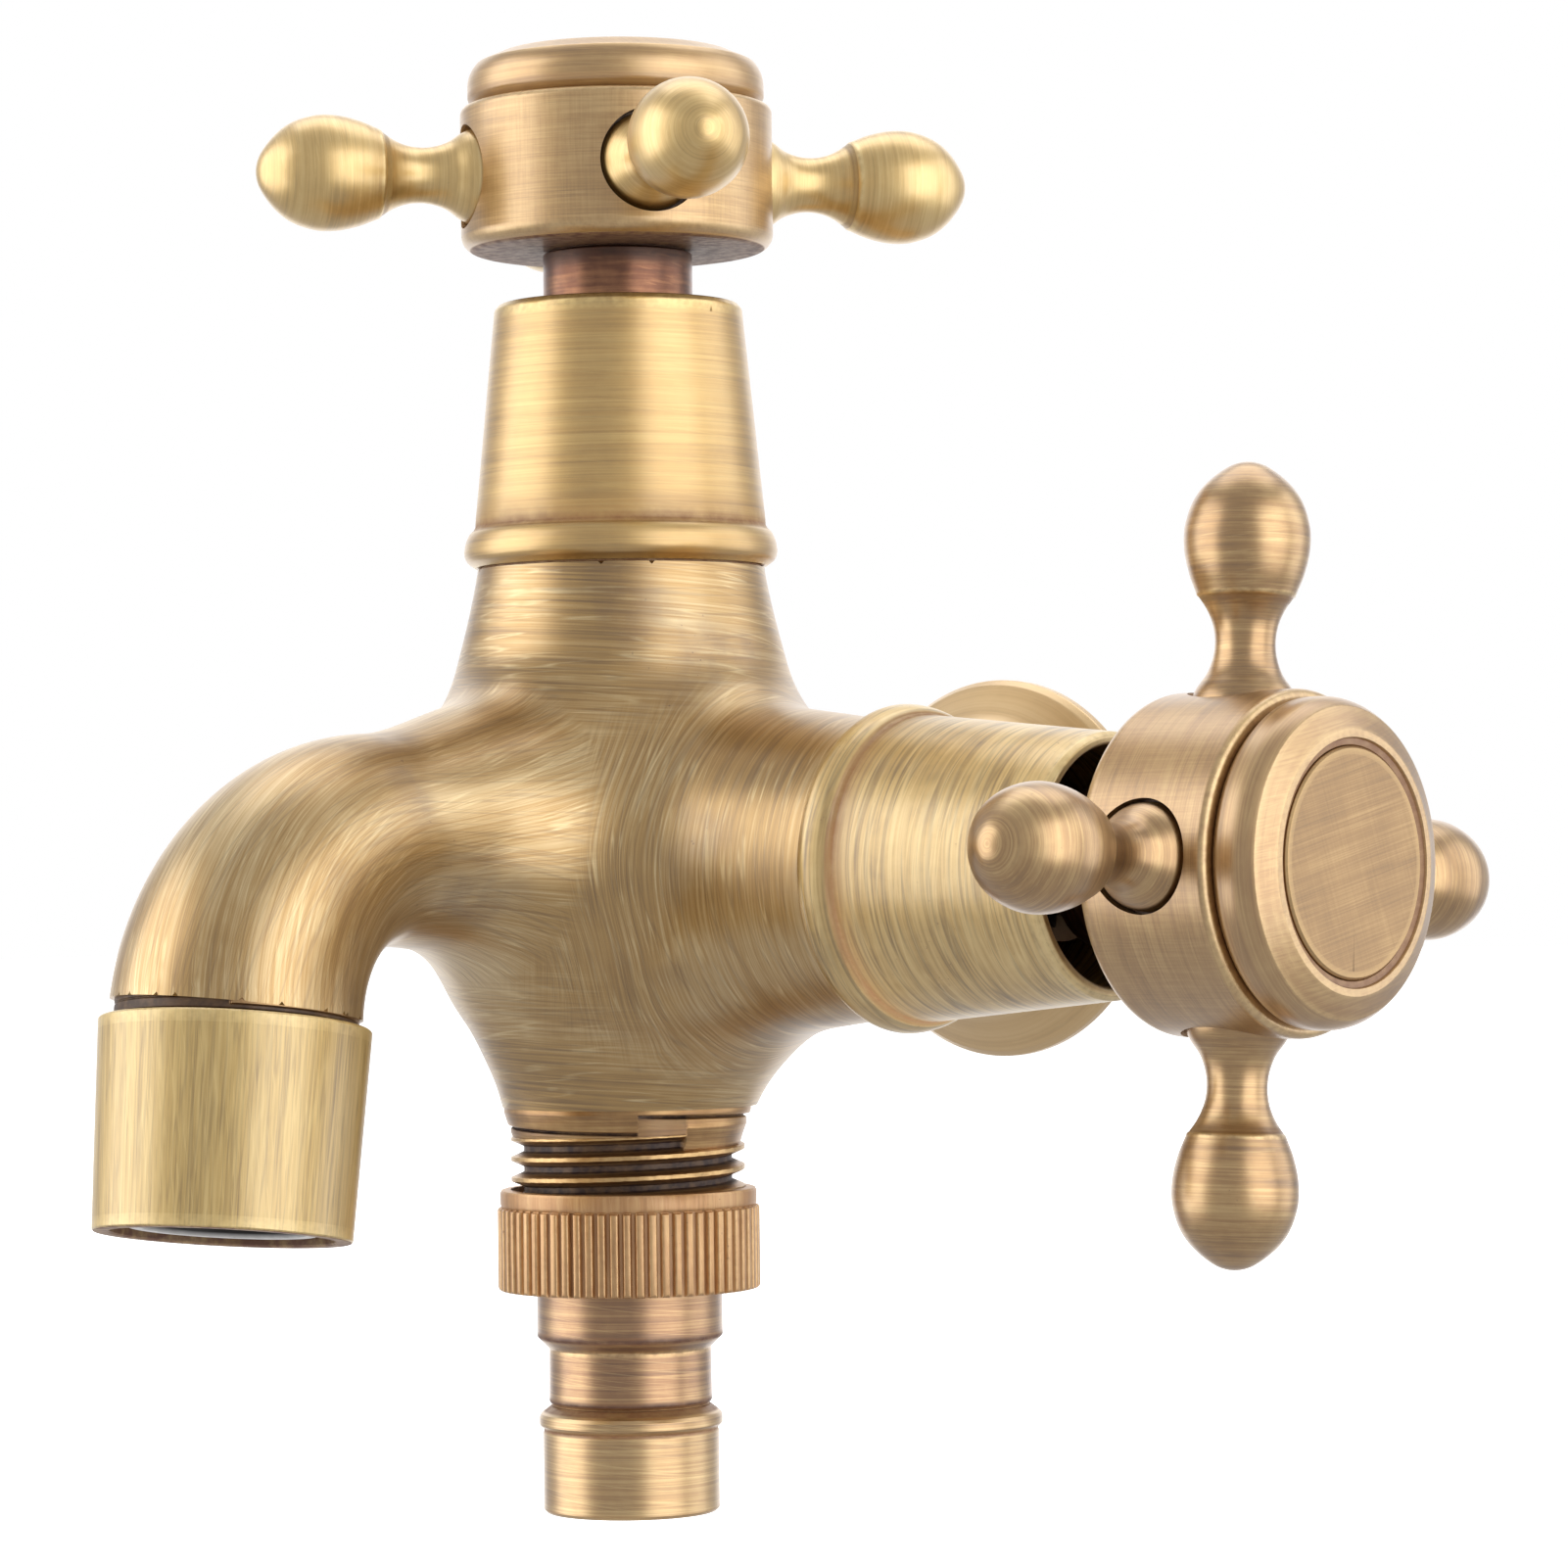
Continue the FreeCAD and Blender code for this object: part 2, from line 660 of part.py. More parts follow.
nozzle.Placement = Placement(CENTRE, Rotation())
nozzle_washer = turned(
    "nozzle_washer",
    [
        (S.nozzle_bore + 0.6, -S.lower_thread_end - 1.75),
        (S.thread_radius - 0.7, -S.lower_thread_end - 1.75),
        (S.thread_radius - 0.7, -S.lower_thread_end - 0.05),
        (S.nozzle_bore + 0.6, -S.lower_thread_end - 0.05),
    ],
)
nozzle_washer.Placement = Placement(CENTRE, Rotation())


# ---------------------------------------------------------------- valves and cross handles
def valve(side, seat, rotation, stand, turn):
    """One bonnet, ceramic cartridge and cross handle. Heights are from the neck face."""
    axis = rotation.multVec(Z)
    fixed = Placement(CENTRE + axis * seat, rotation)
    spin = Rotation(Z, turn)
    handle = Placement(CENTRE + axis * (seat + stand), rotation.multiply(spin))
    stem_at = Placement(CENTRE + axis * seat, rotation.multiply(spin))

    # bonnet: bead ring, groove, long cone with an open mouth
    rr, rh = S.ring_radius, S.ring_height
    bl = S.bonnet_length
    bonnet = turned(
        side + "_bonnet",
        [
            (11.05, 0),
            (S.neck_radius, 0),
            (rr - 0.35, 0.55, 1.35),
            (rr, rh / 2, 3.2),
            (rr - 0.35, rh - 0.75, 1.6),
            (S.bonnet_base_radius - 0.12, rh),
            (S.bonnet_base_radius - 0.12, rh + 0.3),
            (S.bonnet_base_radius, rh + 0.5),
            (S.bonnet_top_radius, bl - 0.45),
            (S.bonnet_top_radius - 0.4, bl),
            (S.bonnet_bore + 0.2, bl),
            (S.bonnet_bore, bl - 0.3),
            (S.bonnet_bore, 7.2),
            (8.56, 6.6),
            (8.56, 3.25),
            (11.05, 3.25),
        ],
    )
    bonnet.Placement = fixed

    # cartridge housing: disc chamber, pipe thread, flange, bonnet thread, hex, stem guide
    std = S.socket_thread_depth
    housing = turned(
        side + "_cartridge_housing",
        [
            (7.2, -16.8),
            (8.6, -16.8),
            (8.6, -std - 0.4),
            (9.5, -std + 0.6),
            (S.thread_radius, -std + 1.2),
            (S.thread_radius, -0.9),
            (9.4, -0.9),
            (9.4, 0),
            (10.9, 0.0),
            (10.9, 3.0),
            (8.5, 3.0),
            (8.5, 13.0),
            (6.2, 13.6),
            (6.2, 18.0),
            (S.stem_radius + 0.06, 18.0),
            (S.stem_radius + 0.06, -8.0),
            (7.2, -8.0),
        ],
    )

    def hex_flats(sk):
        outline(sk, [(7.25, -6), (9.5, -6), (9.5, 6), (7.25, 6)])

    f = pocket(housing, side + "_hex_flat", "XY_Plane", hex_flats, depth=5.2, lift=8.0, reverse=True)
    around(housing, f, 6, side + "_hex")

    def window(sk):
        outline(sk, [(-2.6, -12.9), (2.6, -12.9), (2.6, -8.9), (-2.6, -8.9)])

    w = pocket(housing, side + "_window", "XZ_Plane", window, depth=12.0, reverse=False)
    around(housing, w, 2, side + "_windows")
    housing.Placement = fixed

    oring = doc.addObject("Part::Torus", side + "_flange_oring")
    oring.Label = side + "_flange_oring"
    bind(oring, "Radius1", S.socket_thread_radius - 0.62)
    bind(oring, "Radius2", 0.42)
    oring.Placement = fixed.multiply(Placement(Vector(0, 0, -0.46), Rotation()))
    PARTS.append(oring)

    sd = S.socket_depth
    seal = turned(
        side + "_seat_seal",
        [(4.4, -sd), (8.3, -sd), (8.3, -16.8), (7.1, -16.8), (7.1, -16.0), (4.4, -16.0)],
    )
    seal.Placement = fixed

    fixed_disc = turned(side + "_fixed_disc", [(0, -16.0), (7.12, -16.0), (7.12, -13.0), (0, -13.0)])

    def port(sk):
        outline(sk, [(1.6, -1.2), (4.1, -2.8), (4.1, 2.8), (1.6, 1.2)])

    p = pocket(fixed_disc, side + "_fixed_port", "XY_Plane", port, depth=4.0, lift=-16.5, reverse=True)
    around(fixed_disc, p, 2, side + "_fixed_ports")
    fixed_disc.Placement = fixed

    disc = turned(side + "_rotating_disc", [(0, -12.98), (7.05, -12.98), (7.05, -10.4), (0, -10.4)])

    def notch(sk):
        outline(sk, [(-3.0, 1.6), (3.0, 1.6), (3.4, 8.0), (-3.4, 8.0)])

    p = pocket(disc, side + "_disc_notch", "XY_Plane", notch, depth=4.0, lift=-13.5, reverse=True)
    around(disc, p, 2, side + "_disc_notches")

    def slot(sk):
        outline(sk, [(-5.2, -1.3), (5.2, -1.3), (5.2, 1.3), (-5.2, 1.3)])

    pocket(disc, side + "_disc_slot", "XY_Plane", slot, depth=1.3, lift=-11.7, reverse=True)
    disc.Placement = stem_at

    # stem: driving foot with a tang, two ring grooves, clip groove, splined end, screw hole
    top = S.upper_handle_stand + 4.6
    sr = S.stem_radius
    stem = turned(
        side + "_spindle",
        [
            (0, -10.38),
            (6.8, -10.38),
            (6.8, -8.05),
            (sr, -8.05),
            (sr, 1.2),
            (sr - 0.85, 1.2),
            (sr - 0.85, 2.5),
            (sr, 2.5),
            (sr, 5.2),
            (sr - 0.85, 5.2),
            (sr - 0.85, 6.5),
            (sr, 6.5),
            (sr, 18.15),
            (sr - 0.6, 18.15),
            (sr - 0.6, 19.05),
            (sr, 19.05),
            (sr, 21.0),
            (sr - 0.05, 21.0),
            (sr - 0.05, top - 0.4),
            (sr - 0.45, top),
            (2.0, top),
            (2.0, 20.0),
            (0, 19.0),
        ],
    )
    tang = new_sketch(stem, side + "_tang_sketch", "XY_Plane", -11.55)
    outline(tang, [(-5.1, -1.2), (5.1, -1.2), (5.1, 1.2), (-5.1, 1.2)])
    doc.recompute()
    vol = stem.Tip.Shape.Volume
    pad = stem.newObject("PartDesign::Pad", side + "_tang")
    pad.Profile = tang
    pad.Length = 1.3
    stem.Tip = pad
    doc.recompute()
    if not pad.Shape.Volume > vol + 1e-3:
        raise RuntimeError("tang added nothing")

    def spline(sk):
        outline(sk, [(sr - 0.42, -0.12), (sr + 0.3, -0.42), (sr + 0.3, 0.42), (sr - 0.42, 0.12)])

    g = pocket(stem, side + "_spline_groove", "XY_Plane", spline, depth=14.0, lift=22.5, reverse=True)
    around(stem, g, 20, side + "_splines")
    stem.Placement = stem_at

    # two stem seals, one group
    rings = [Part.makeTorus(v("stem_radius") - 0.43, 0.40, Vector(0, 0, z), Z) for z in (1.85, 5.85)]
    plain(side + "_stem_orings", Part.makeCompound(rings), stem_at)

    clip = turned(
        side + "_circlip",
        [(sr - 0.55, 18.2), (sr + 1.5, 18.2), (sr + 1.5, 19.0), (sr - 0.55, 19.0)],
    )

    def gap(sk):
        outline(sk, [(0.5, -1.6), (8.0, -2.3), (8.0, 2.3), (0.5, 1.6)])

    pocket(clip, side + "_clip_gap", "XY_Plane", gap, depth=2.0, lift=17.7, reverse=True)
    clip.Placement = stem_at

    # stem bush: shows between the bonnet and the hub
    br = S.bush_radius
    bush = turned(
        side + "_stem_bush",
        [
            (sr + 0.02, -8.2),
            (br - 0.4, -8.2),
            (br, -7.8),
            (br, -1.3),
            (br - 0.7, -0.5),
            (br - 0.7, 3.2),
            (sr + 0.02, 3.2),
        ],
    )
    bush.Placement = handle

    # hub: cross drilled for the spokes
    hr, hh, sh = S.hub_radius, S.hub_height, S.spoke_height
    hub = turned(
        side + "_handle_hub",
        [
            (br - 0.65, 0),
            (hr - 1.5, 0, 1.5),
            (hr, 1.5),
            (hr, hh - 0.7, 0.7),
            (hr - 0.7, hh),
            (10.4, hh),
            (10.4, 9.4),
            (5.2, 9.4),
            (5.2, 5.2),
            (sr + 0.1, 5.2),
            (sr + 0.1, 3.25),
            (br - 0.65, 3.25),
        ],
    )
    f = pocket(
        hub, side + "_stud_hole", "YZ_Plane",
        lambda sk: circle(sk, 0, sh, S.spoke_stud + 0.04), depth=20.0, lift=0.0, reverse=True,
    )
    around(hub, f, 4, side + "_stud_holes")
    f = pocket(
        hub, side + "_spoke_seat", "YZ_Plane",
        lambda sk: circle(sk, 0, sh, S.spoke_hole), depth=4.0, lift=11.7, reverse=True,
    )
    around(hub, f, 4, side + "_spoke_seats")
    hub.Placement = handle

    washer = turned(
        side + "_handle_washer", [(2.15, 5.2), (4.9, 5.2), (4.9, 6.0), (2.15, 6.0)]
    )
    washer.Placement = handle

    screw = turned(
        side + "_handle_screw",
        [(0, -4.0), (1.6, -4.0), (1.98, -3.6), (1.98, 6.0), (3.6, 6.0), (3.6, 7.3, 2.2), (2.4, 8.5), (0, 8.5)],
    )

    def drive(sk):
        a, b = 0.45, 2.1
        outline(
            sk,
            [(a, a), (a, b), (-a, b), (-a, a), (-b, a), (-b, -a), (-a, -a), (-a, -b), (a, -b), (a, -a), (b, -a), (b, a)],
        )

    pocket(screw, side + "_screw_drive", "XY_Plane", drive, depth=3.0, lift=7.0, reverse=True)
    screw.Placement = handle

    # cap: rounded shoulder, bevelled recess for the disc, spigot screwed into the hub
    cr, ch, cd = S.cap_radius, S.cap_height, S.cap_round
    cap = turned(
        side + "_handle_cap",
        [
            (8.4, 9.5),
            (10.34, 9.5),
            (10.34, hh + 0.02),
            (cr - 0.55, hh + 0.02),
            (cr, hh + 0.75),
            (cr, hh + ch - cd, cd),
            (cr - cd, hh + ch),
            (S.disc_radius + 0.95, hh + ch),
            (S.disc_radius + 0.12, hh + ch - 0.4),
            (S.disc_radius + 0.03, hh + ch - 0.5),
            (S.disc_radius + 0.03, hh + ch - 1.6),
            (8.4, hh + ch - 1.6),
        ],
    )
    cap.Placement = handle

    dr = S.disc_radius
    button = turned(
        side + "_cap_disc",
        [
            (0, hh + ch - 1.6),
            (dr, hh + ch - 1.6),
            (dr, hh + ch - 0.32),
            (dr - 0.2, hh + ch - 0.1),
            (0, hh + ch - 0.1),
        ],
    )
    button.Placement = handle

    # spokes: stud, flared foot in the hub's seat, waist, step, pear shaped end
    reach, ball, waist = v("spoke_reach"), v("spoke_ball_radius"), v("spoke_neck_radius")
    foot = [(4.38, 12.2), (4.25, 13.3), (3.72, 14.45), (3.12, 15.3), (2.77, 16.1), (waist + 0.06, 17.1), (waist, 18.1),
            (2.60, 19.2), (2.88, 20.05), (3.32, 20.9), (3.80, 21.6)]
    end = [(3.98, 21.75), (4.23, 22.4), (4.55, 23.2), (4.79, 24.0), (4.98, 24.8), (5.10, 25.6), (ball, 26.4), (5.10, 27.2),
           (4.94, 28.0), (4.70, 28.8), (4.35, 29.6), (3.82, 30.4), (3.12, 31.15), (2.12, 31.95), (1.05, reach - 0.18), (0.35, reach - 0.02)]
    scale = reach / 32.7
    foot = [(r, z * scale) for r, z in foot]
    end = [(r, z * scale) for r, z in end[:-2]] + end[-2:]
    c1 = Part.BSplineCurve()
    c1.interpolate([Vector(r, 0, z) for r, z in foot])
    c2 = Part.BSplineCurve()
    c2.interpolate([Vector(r, 0, z) for r, z in end])
    stud = v("spoke_stud")
    line = [
        Vector(0, 0, 7.6), Vector(stud - 0.3, 0, 7.6), Vector(stud, 0, 7.9), Vector(stud, 0, 11.75),
        Vector(4.38, 0, 11.75), Vector(foot[0][0], 0, foot[0][1]),
    ]
    edges = [Part.LineSegment(line[i], line[i + 1]).toShape() for i in range(len(line) - 1)]
    edges.append(c1.toShape())
    edges.append(Part.LineSegment(Vector(foot[-1][0], 0, foot[-1][1]), Vector(end[0][0], 0, end[0][1])).toShape())
    edges.append(c2.toShape())
    tip = Vector(end[-1][0], 0, end[-1][1])
    edges.append(Part.LineSegment(tip, Vector(0, 0, tip.z + 0.02)).toShape())
    edges.append(Part.LineSegment(Vector(0, 0, tip.z + 0.02), line[0]).toShape())
    spoke = Part.Face(Part.Wire(Part.__sortEdges__(edges))).revolve(Vector(), Z, 360)
    for k in range(4):
        lay = Placement(Vector(0, 0, v("spoke_height")), Rotation(Z, 90 * k).multiply(Rotation(Y, 90)))
        plain(f"{side}_spoke_{k + 1}", spoke.copy(), handle.multiply(lay))


valve("upper", v("upper_seat"), Rotation(), v("upper_handle_stand"), v("upper_handle_turn"))
valve("side", v("side_seat"), TO_X, v("side_handle_stand"), -v("side_handle_turn"))

# ---------------------------------------------------------------- checks and export
doc.recompute()
for obj in doc.Objects:
    bad = [s for s in obj.State if s in ("Invalid", "Error")]
    if bad:
        raise RuntimeError(f"{obj.Name}: {bad}")
labels = [p.Label for p in PARTS]
if len(set(labels)) != len(labels) or len(labels) > 60:
    raise RuntimeError("names of pieces clash, or there are too many")
for p in PARTS:
    if p.Shape.isNull() or not p.Shape.isValid() or p.Shape.Volume <= 0 or not p.Shape.Solids:
        raise RuntimeError(f"{p.Label}: bad shape")
    print(f"{p.Label:28s} solids {len(p.Shape.Solids)} volume {p.Shape.Volume:10.2f} mm3")
os.makedirs("parts", exist_ok=True)
for p in PARTS:
    p.Shape.exportStep(f"parts/{p.Label}.step")
print(len(PARTS), "pieces")
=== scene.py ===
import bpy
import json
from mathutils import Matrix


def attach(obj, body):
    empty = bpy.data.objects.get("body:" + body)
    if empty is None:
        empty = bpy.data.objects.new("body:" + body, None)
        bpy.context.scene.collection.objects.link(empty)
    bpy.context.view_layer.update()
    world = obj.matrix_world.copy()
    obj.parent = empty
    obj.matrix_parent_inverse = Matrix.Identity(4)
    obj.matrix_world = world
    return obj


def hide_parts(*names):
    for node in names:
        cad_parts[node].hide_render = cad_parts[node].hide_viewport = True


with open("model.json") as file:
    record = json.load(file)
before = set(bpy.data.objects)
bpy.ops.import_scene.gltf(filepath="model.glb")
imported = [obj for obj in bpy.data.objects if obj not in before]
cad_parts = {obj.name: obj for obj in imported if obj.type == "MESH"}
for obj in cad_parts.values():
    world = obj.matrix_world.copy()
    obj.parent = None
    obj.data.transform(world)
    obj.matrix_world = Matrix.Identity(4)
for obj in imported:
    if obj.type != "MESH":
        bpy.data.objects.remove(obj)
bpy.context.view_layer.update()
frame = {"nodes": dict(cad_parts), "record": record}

import json
import math

import bmesh
import bpy
import numpy as np
from mathutils import Matrix, Vector

MM = 0.001
CENTRE = Vector((0.0, -55.0, 0.0))
scene = bpy.context.scene


# ------------------------------------------------------------------ small geometry helpers
def spline(points, n):
    """Smooth line through (r, z) points: n samples, chord length steps, natural ends."""
    p = np.array(points, float)
    t = np.concatenate([[0], np.cumsum(np.hypot(*np.diff(p, axis=0).T))])
    m = len(p)
    h = np.diff(t)
    a = np.zeros((m, m))
    b = np.zeros((m, 2))
    a[0, 0] = a[-1, -1] = 1
    for i in range(1, m - 1):
        a[i, i - 1], a[i, i], a[i, i + 1] = h[i - 1], 2 * (h[i - 1] + h[i]), h[i]
        b[i] = 6 * ((p[i + 1] - p[i]) / h[i] - (p[i] - p[i - 1]) / h[i - 1])
    c = np.linalg.solve(a, b)
    s = np.linspace(0, t[-1], n)
    k = np.clip(np.searchsorted(t, s, side="right") - 1, 0, m - 2)
    u = (s - t[k])[:, None]
    v = (t[k + 1] - s)[:, None]
    hk = h[k][:, None]
    return (
        c[k] * v**3 / (6 * hk) + c[k + 1] * u**3 / (6 * hk)
        + (p[k] / hk - c[k] * hk / 6) * v + (p[k + 1] / hk - c[k + 1] * hk / 6) * u
    )


def arc_points(a, b, r, step=0.16):
    """Points from a to b, both left out, on an arc that turns left for a positive radius."""
    a, b = np.array(a, float), np.array(b, float)
    d = b - a
    length = np.hypot(*d)
    mid = (a + b) / 2
    left = np.array([-d[1], d[0]]) / length
    off = math.sqrt(max(r * r - length * length / 4, 0))
    c = mid + left * (off if r > 0 else -off)
    a0, a1 = math.atan2(*(a - c)[::-1]), math.atan2(*(b - c)[::-1])
    if r > 0 and a1 <= a0:
        a1 += 2 * math.pi
    if r < 0 and a1 >= a0:
        a1 -= 2 * math.pi
    n = max(4, int(abs(a1 - a0) * abs(r) / step))
    return [tuple(c + abs(r) * np.array([math.cos(x), math.sin(x)])) for x in np.linspace(a0, a1, n + 1)[1:-1]]


def profile(points, ease=0.1, closed=True, steps=3):
    """A closed (radius, height) outline. Sharp corners get a small round of radius `ease`, or a
    point's own fourth value. Gives the points and, for each, how much of an outer edge it is."""
    raw, soft, own = [], [], []
    n = len(points)
    for i, p in enumerate(points):
        raw.append((p[0], p[1]))
        own.append(p[3] if len(p) > 3 and p[3] is not None else ease)
        prev = points[i - 1]
        soft.append(False)
        if len(p) > 2 and p[2]:
            for q in arc_points(p[:2], points[(i + 1) % n][:2], p[2]):
                raw.append(q)
                own.append(0)
                soft.append(True)
    out, edge = [], []
    m = len(raw)
    for i in range(m):
        p = np.array(raw[i])
        if (not closed and i in (0, m - 1)) or soft[i] or own[i] <= 0:
            out.append(tuple(p))
            edge.append(0.0)
            continue
        a, b = np.array(raw[i - 1]), np.array(raw[(i + 1) % m])
        da, db = a - p, b - p
        la, lb = np.hypot(*da), np.hypot(*db)
        if la < 1e-9 or lb < 1e-9:
            continue
        da, db = da / la, db / lb
        turn = math.acos(max(-1, min(1, -float(da @ db))))
        if turn < math.radians(14) or p[0] < 1e-6:
            out.append(tuple(p))
            edge.append(0.0)
            continue
        cut = min(own[i] * math.tan(turn / 2), la * 0.45, lb * 0.45)
        cross = float(-da[0] * db[1] + da[1] * db[0])
        s, e = p + da * cut, p + db * cut
        for k in range(steps + 1):
            f = k / steps
            q = (1 - f) ** 2 * s + 2 * f * (1 - f) * p + f * f * e
            out.append(tuple(q))
            edge.append(1.0 if cross > 0 else -1.0)
    return out, edge


def finish_mesh(name, verts, faces, loc, wear_and_shade, place, normals=None, quads_smooth=True):
    me = bpy.data.meshes.new(name)
    me.from_pydata([tuple(x) for x in verts], [], faces)
    me.validate(clean_customdata=False)
    a = me.attributes.new("loc", "FLOAT_VECTOR", "POINT")
    a.data.foreach_set("vector", np.asarray(loc, np.float32).ravel())
    # positive for rubbed bright edges, negative for painted shade and patina
    b = me.attributes.new("wear_and_shade", "FLOAT", "POINT")
    b.data.foreach_set("value", np.asarray(wear_and_shade, np.float32).ravel())
    me.transform(place)
    me.polygons.foreach_set("use_smooth", [True] * len(me.polygons))
    if normals is not None:
        rot = np.array(place.to_3x3().normalized())
        nn = np.asarray(normals) @ rot.T
        me.normals_split_custom_set_from_vertices([tuple(x) for x in nn])
    me.update()
    o = bpy.data.objects.new(name, me)
    scene.collection.objects.link(o)
    return o


def lathe(name, points, place, segs=160, ease=0.1, ready=False, paint=None):
    """A turned piece about local Z. `points` are an outline in millimetres, `place` a matrix in
    millimetres. `paint(r, z, wear_and_shade)` may brighten a ring as wear and darken a ring as painted shade."""
    if ready:
        pts, edge = points
    else:
        pts, edge = profile(points, ease)
    pts = [(max(r, 0.0), z) for r, z in pts]
    keep = [0]
    for i in range(1, len(pts)):
        if math.hypot(pts[i][0] - pts[keep[-1]][0], pts[i][1] - pts[keep[-1]][1]) > 1e-5:
            keep.append(i)
    pts = [pts[i] for i in keep]
    edge = [edge[i] for i in keep]
    # a worn or dark edge stays narrow: extra rings beside it on the longer runs
    more, shade = [], []
    for i in range(len(pts)):
        more.append(pts[i])
        shade.append(edge[i])
        j = (i + 1) % len(pts)
        (r0, z0), (r1, z1) = pts[i], pts[j]
        run = math.hypot(r1 - r0, z1 - z0)
        if run < 0.7:
            continue
        near = [(d, e0) for d, e0 in ((0.18, 0.45 * edge[i]), (0.42, 0.0))] if edge[i] else []
        near += [(run - d, e0) for d, e0 in ((0.42, 0.0), (0.18, 0.45 * edge[j]))] if edge[j] else []
        for d, e0 in near:
            f = min(max(d, 0.05 * run), 0.95 * run) / run
            more.append((r0 + (r1 - r0) * f, z0 + (z1 - z0) * f))
            shade.append(e0)
    pts, edge = more, shade
    m = len(pts)
    # the normal at each ring follows its longer neighbour run, so flats stay flat
    p = np.array(pts)
    d = np.roll(p, -1, axis=0) - p
    ln = np.hypot(d[:, 0], d[:, 1])
    sn = np.stack([d[:, 1], -d[:, 0]], 1) / np.maximum(ln, 1e-9)[:, None]
    area = 0.5 * np.sum(p[:, 0] * np.roll(p[:, 1], -1) - np.roll(p[:, 0], -1) * p[:, 1])
    if area < 0:
        sn = -sn
    both = sn * (ln**2)[:, None] + np.roll(sn * (ln**2)[:, None], 1, axis=0)
    both /= np.maximum(np.hypot(both[:, 0], both[:, 1]), 1e-12)[:, None]
    # an outline that is closed through the axis has no ring there
    axis = [i for i in range(m) if pts[i][0] < 1e-6]
    ang = np.linspace(0, 2 * math.pi, segs, endpoint=False)
    ca, sa = np.cos(ang), np.sin(ang)
    verts, normals, wear_and_shade, start, count = [], [], [], [], []
    for i, (r, z) in enumerate(pts):
        start.append(len(verts))
        if i in axis:
            verts.append((0, 0, z))
            normals.append((0, 0, 1.0 if both[i, 1] >= 0 else -1.0))
            wear_and_shade.append(0)
            count.append(1)
            continue
        count.append(segs)
        for k in range(segs):
            verts.append((r * ca[k], r * sa[k], z))
            normals.append((both[i, 0] * ca[k], both[i, 0] * sa[k], both[i, 1]))
            wear_and_shade.append(edge[i])
    faces = []
    flip = area < 0
    for i in range(m):
        j = (i + 1) % m
        if count[i] == 1 and count[j] == 1:
            continue
        for k in range(segs):
            k2 = (k + 1) % segs
            if count[i] == 1:
                f = (start[i], start[j] + k2, start[j] + k)
            elif count[j] == 1:
                f = (start[i] + k, start[i] + k2, start[j])
            else:
                f = (start[i] + k, start[i] + k2, start[j] + k2, start[j] + k)
            faces.append(f[::-1] if flip else f)
    verts = np.array(verts, float)
    loc = verts.copy()
    wear_and_shade = np.array(wear_and_shade, float)
    if paint is not None:
        wear_and_shade = paint(np.hypot(verts[:, 0], verts[:, 1]), verts[:, 2], wear_and_shade)
    return finish_mesh(name, verts * MM, faces, loc, wear_and_shade, scaled(place), normals)


def scaled(place):
    m = place.copy()
    m.translation = m.translation * MM
    return m


def move(v):
    return Matrix.Translation(Vector(v))


TO_X = Matrix.Rotation(math.radians(90), 4, "Y")
TO_WALL = Matrix.Rotation(math.radians(90), 4, "X")
TO_BACK = Matrix.Rotation(math.radians(-90), 4, "X")


# ------------------------------------------------------------------ body casting as one smooth skin
def table(points, lo, hi):
    p = spline(points, 1200)
    t = np.arange(lo, hi, 0.02)
    order = np.argsort(p[:, 1])
    r = np.interp(t, p[order, 1], p[order, 0])
    return t, r, np.gradient(r, t)


UPRIGHT = table(
    [(9.75, -26), (10.2, -23.9), (10.9, -21.9), (11.7, -18.9), (12.6, -16.4), (13.9, -13.6), (15.6, -11), (16.85, -6), (17, 0),
     (16.9, 7.5), (16.2, 13.2), (15.1, 17.6), (14.15, 21.2), (13.35, 24.6), (12.87, 27.2), (12.55, 30)], -27, 31)
SIDEWAYS = table([(17, 0), (16.8, 8), (15.6, 14), (14.4, 19.5), (13.6, 25), (13.1, 29), (12.87, 31.85), (12.6, 35)], -1, 36)
REARWARD = table([(16, 0), (15.2, 8), (13.6, 16), (12.7, 26), (12.4, 43), (12.35, 47)], -1, 48)

# spout centre line in its own plane, (out, up)
S_A = np.array([0.0, 4.59])
S_B = np.array([31.77, 2.95])
S_E = np.array([47.14, -11.0])
TILT, LEAN = math.radians(8.5), math.radians(3.2)
S_OUT = np.array([math.sin(TILT), -math.cos(TILT)])
S_GO = (S_B - S_A) / np.hypot(*(S_B - S_A))
S_N = np.array([S_GO[1], -S_GO[0]])  # downward side of the line
CH = S_E - S_B
S_RAD = float(CH @ CH / (2 * (CH @ S_N)))
S_C = S_B + S_N * S_RAD
S_LEN = float(np.hypot(*(S_B - S_A)))
A0 = math.atan2(*(S_B - S_C)[::-1])
A1 = math.atan2(*(S_E - S_C)[::-1])
S_SWEEP = A0 - A1
R_ROOT, R_WAIST, R_END = 14.88, 9.1, 10.48


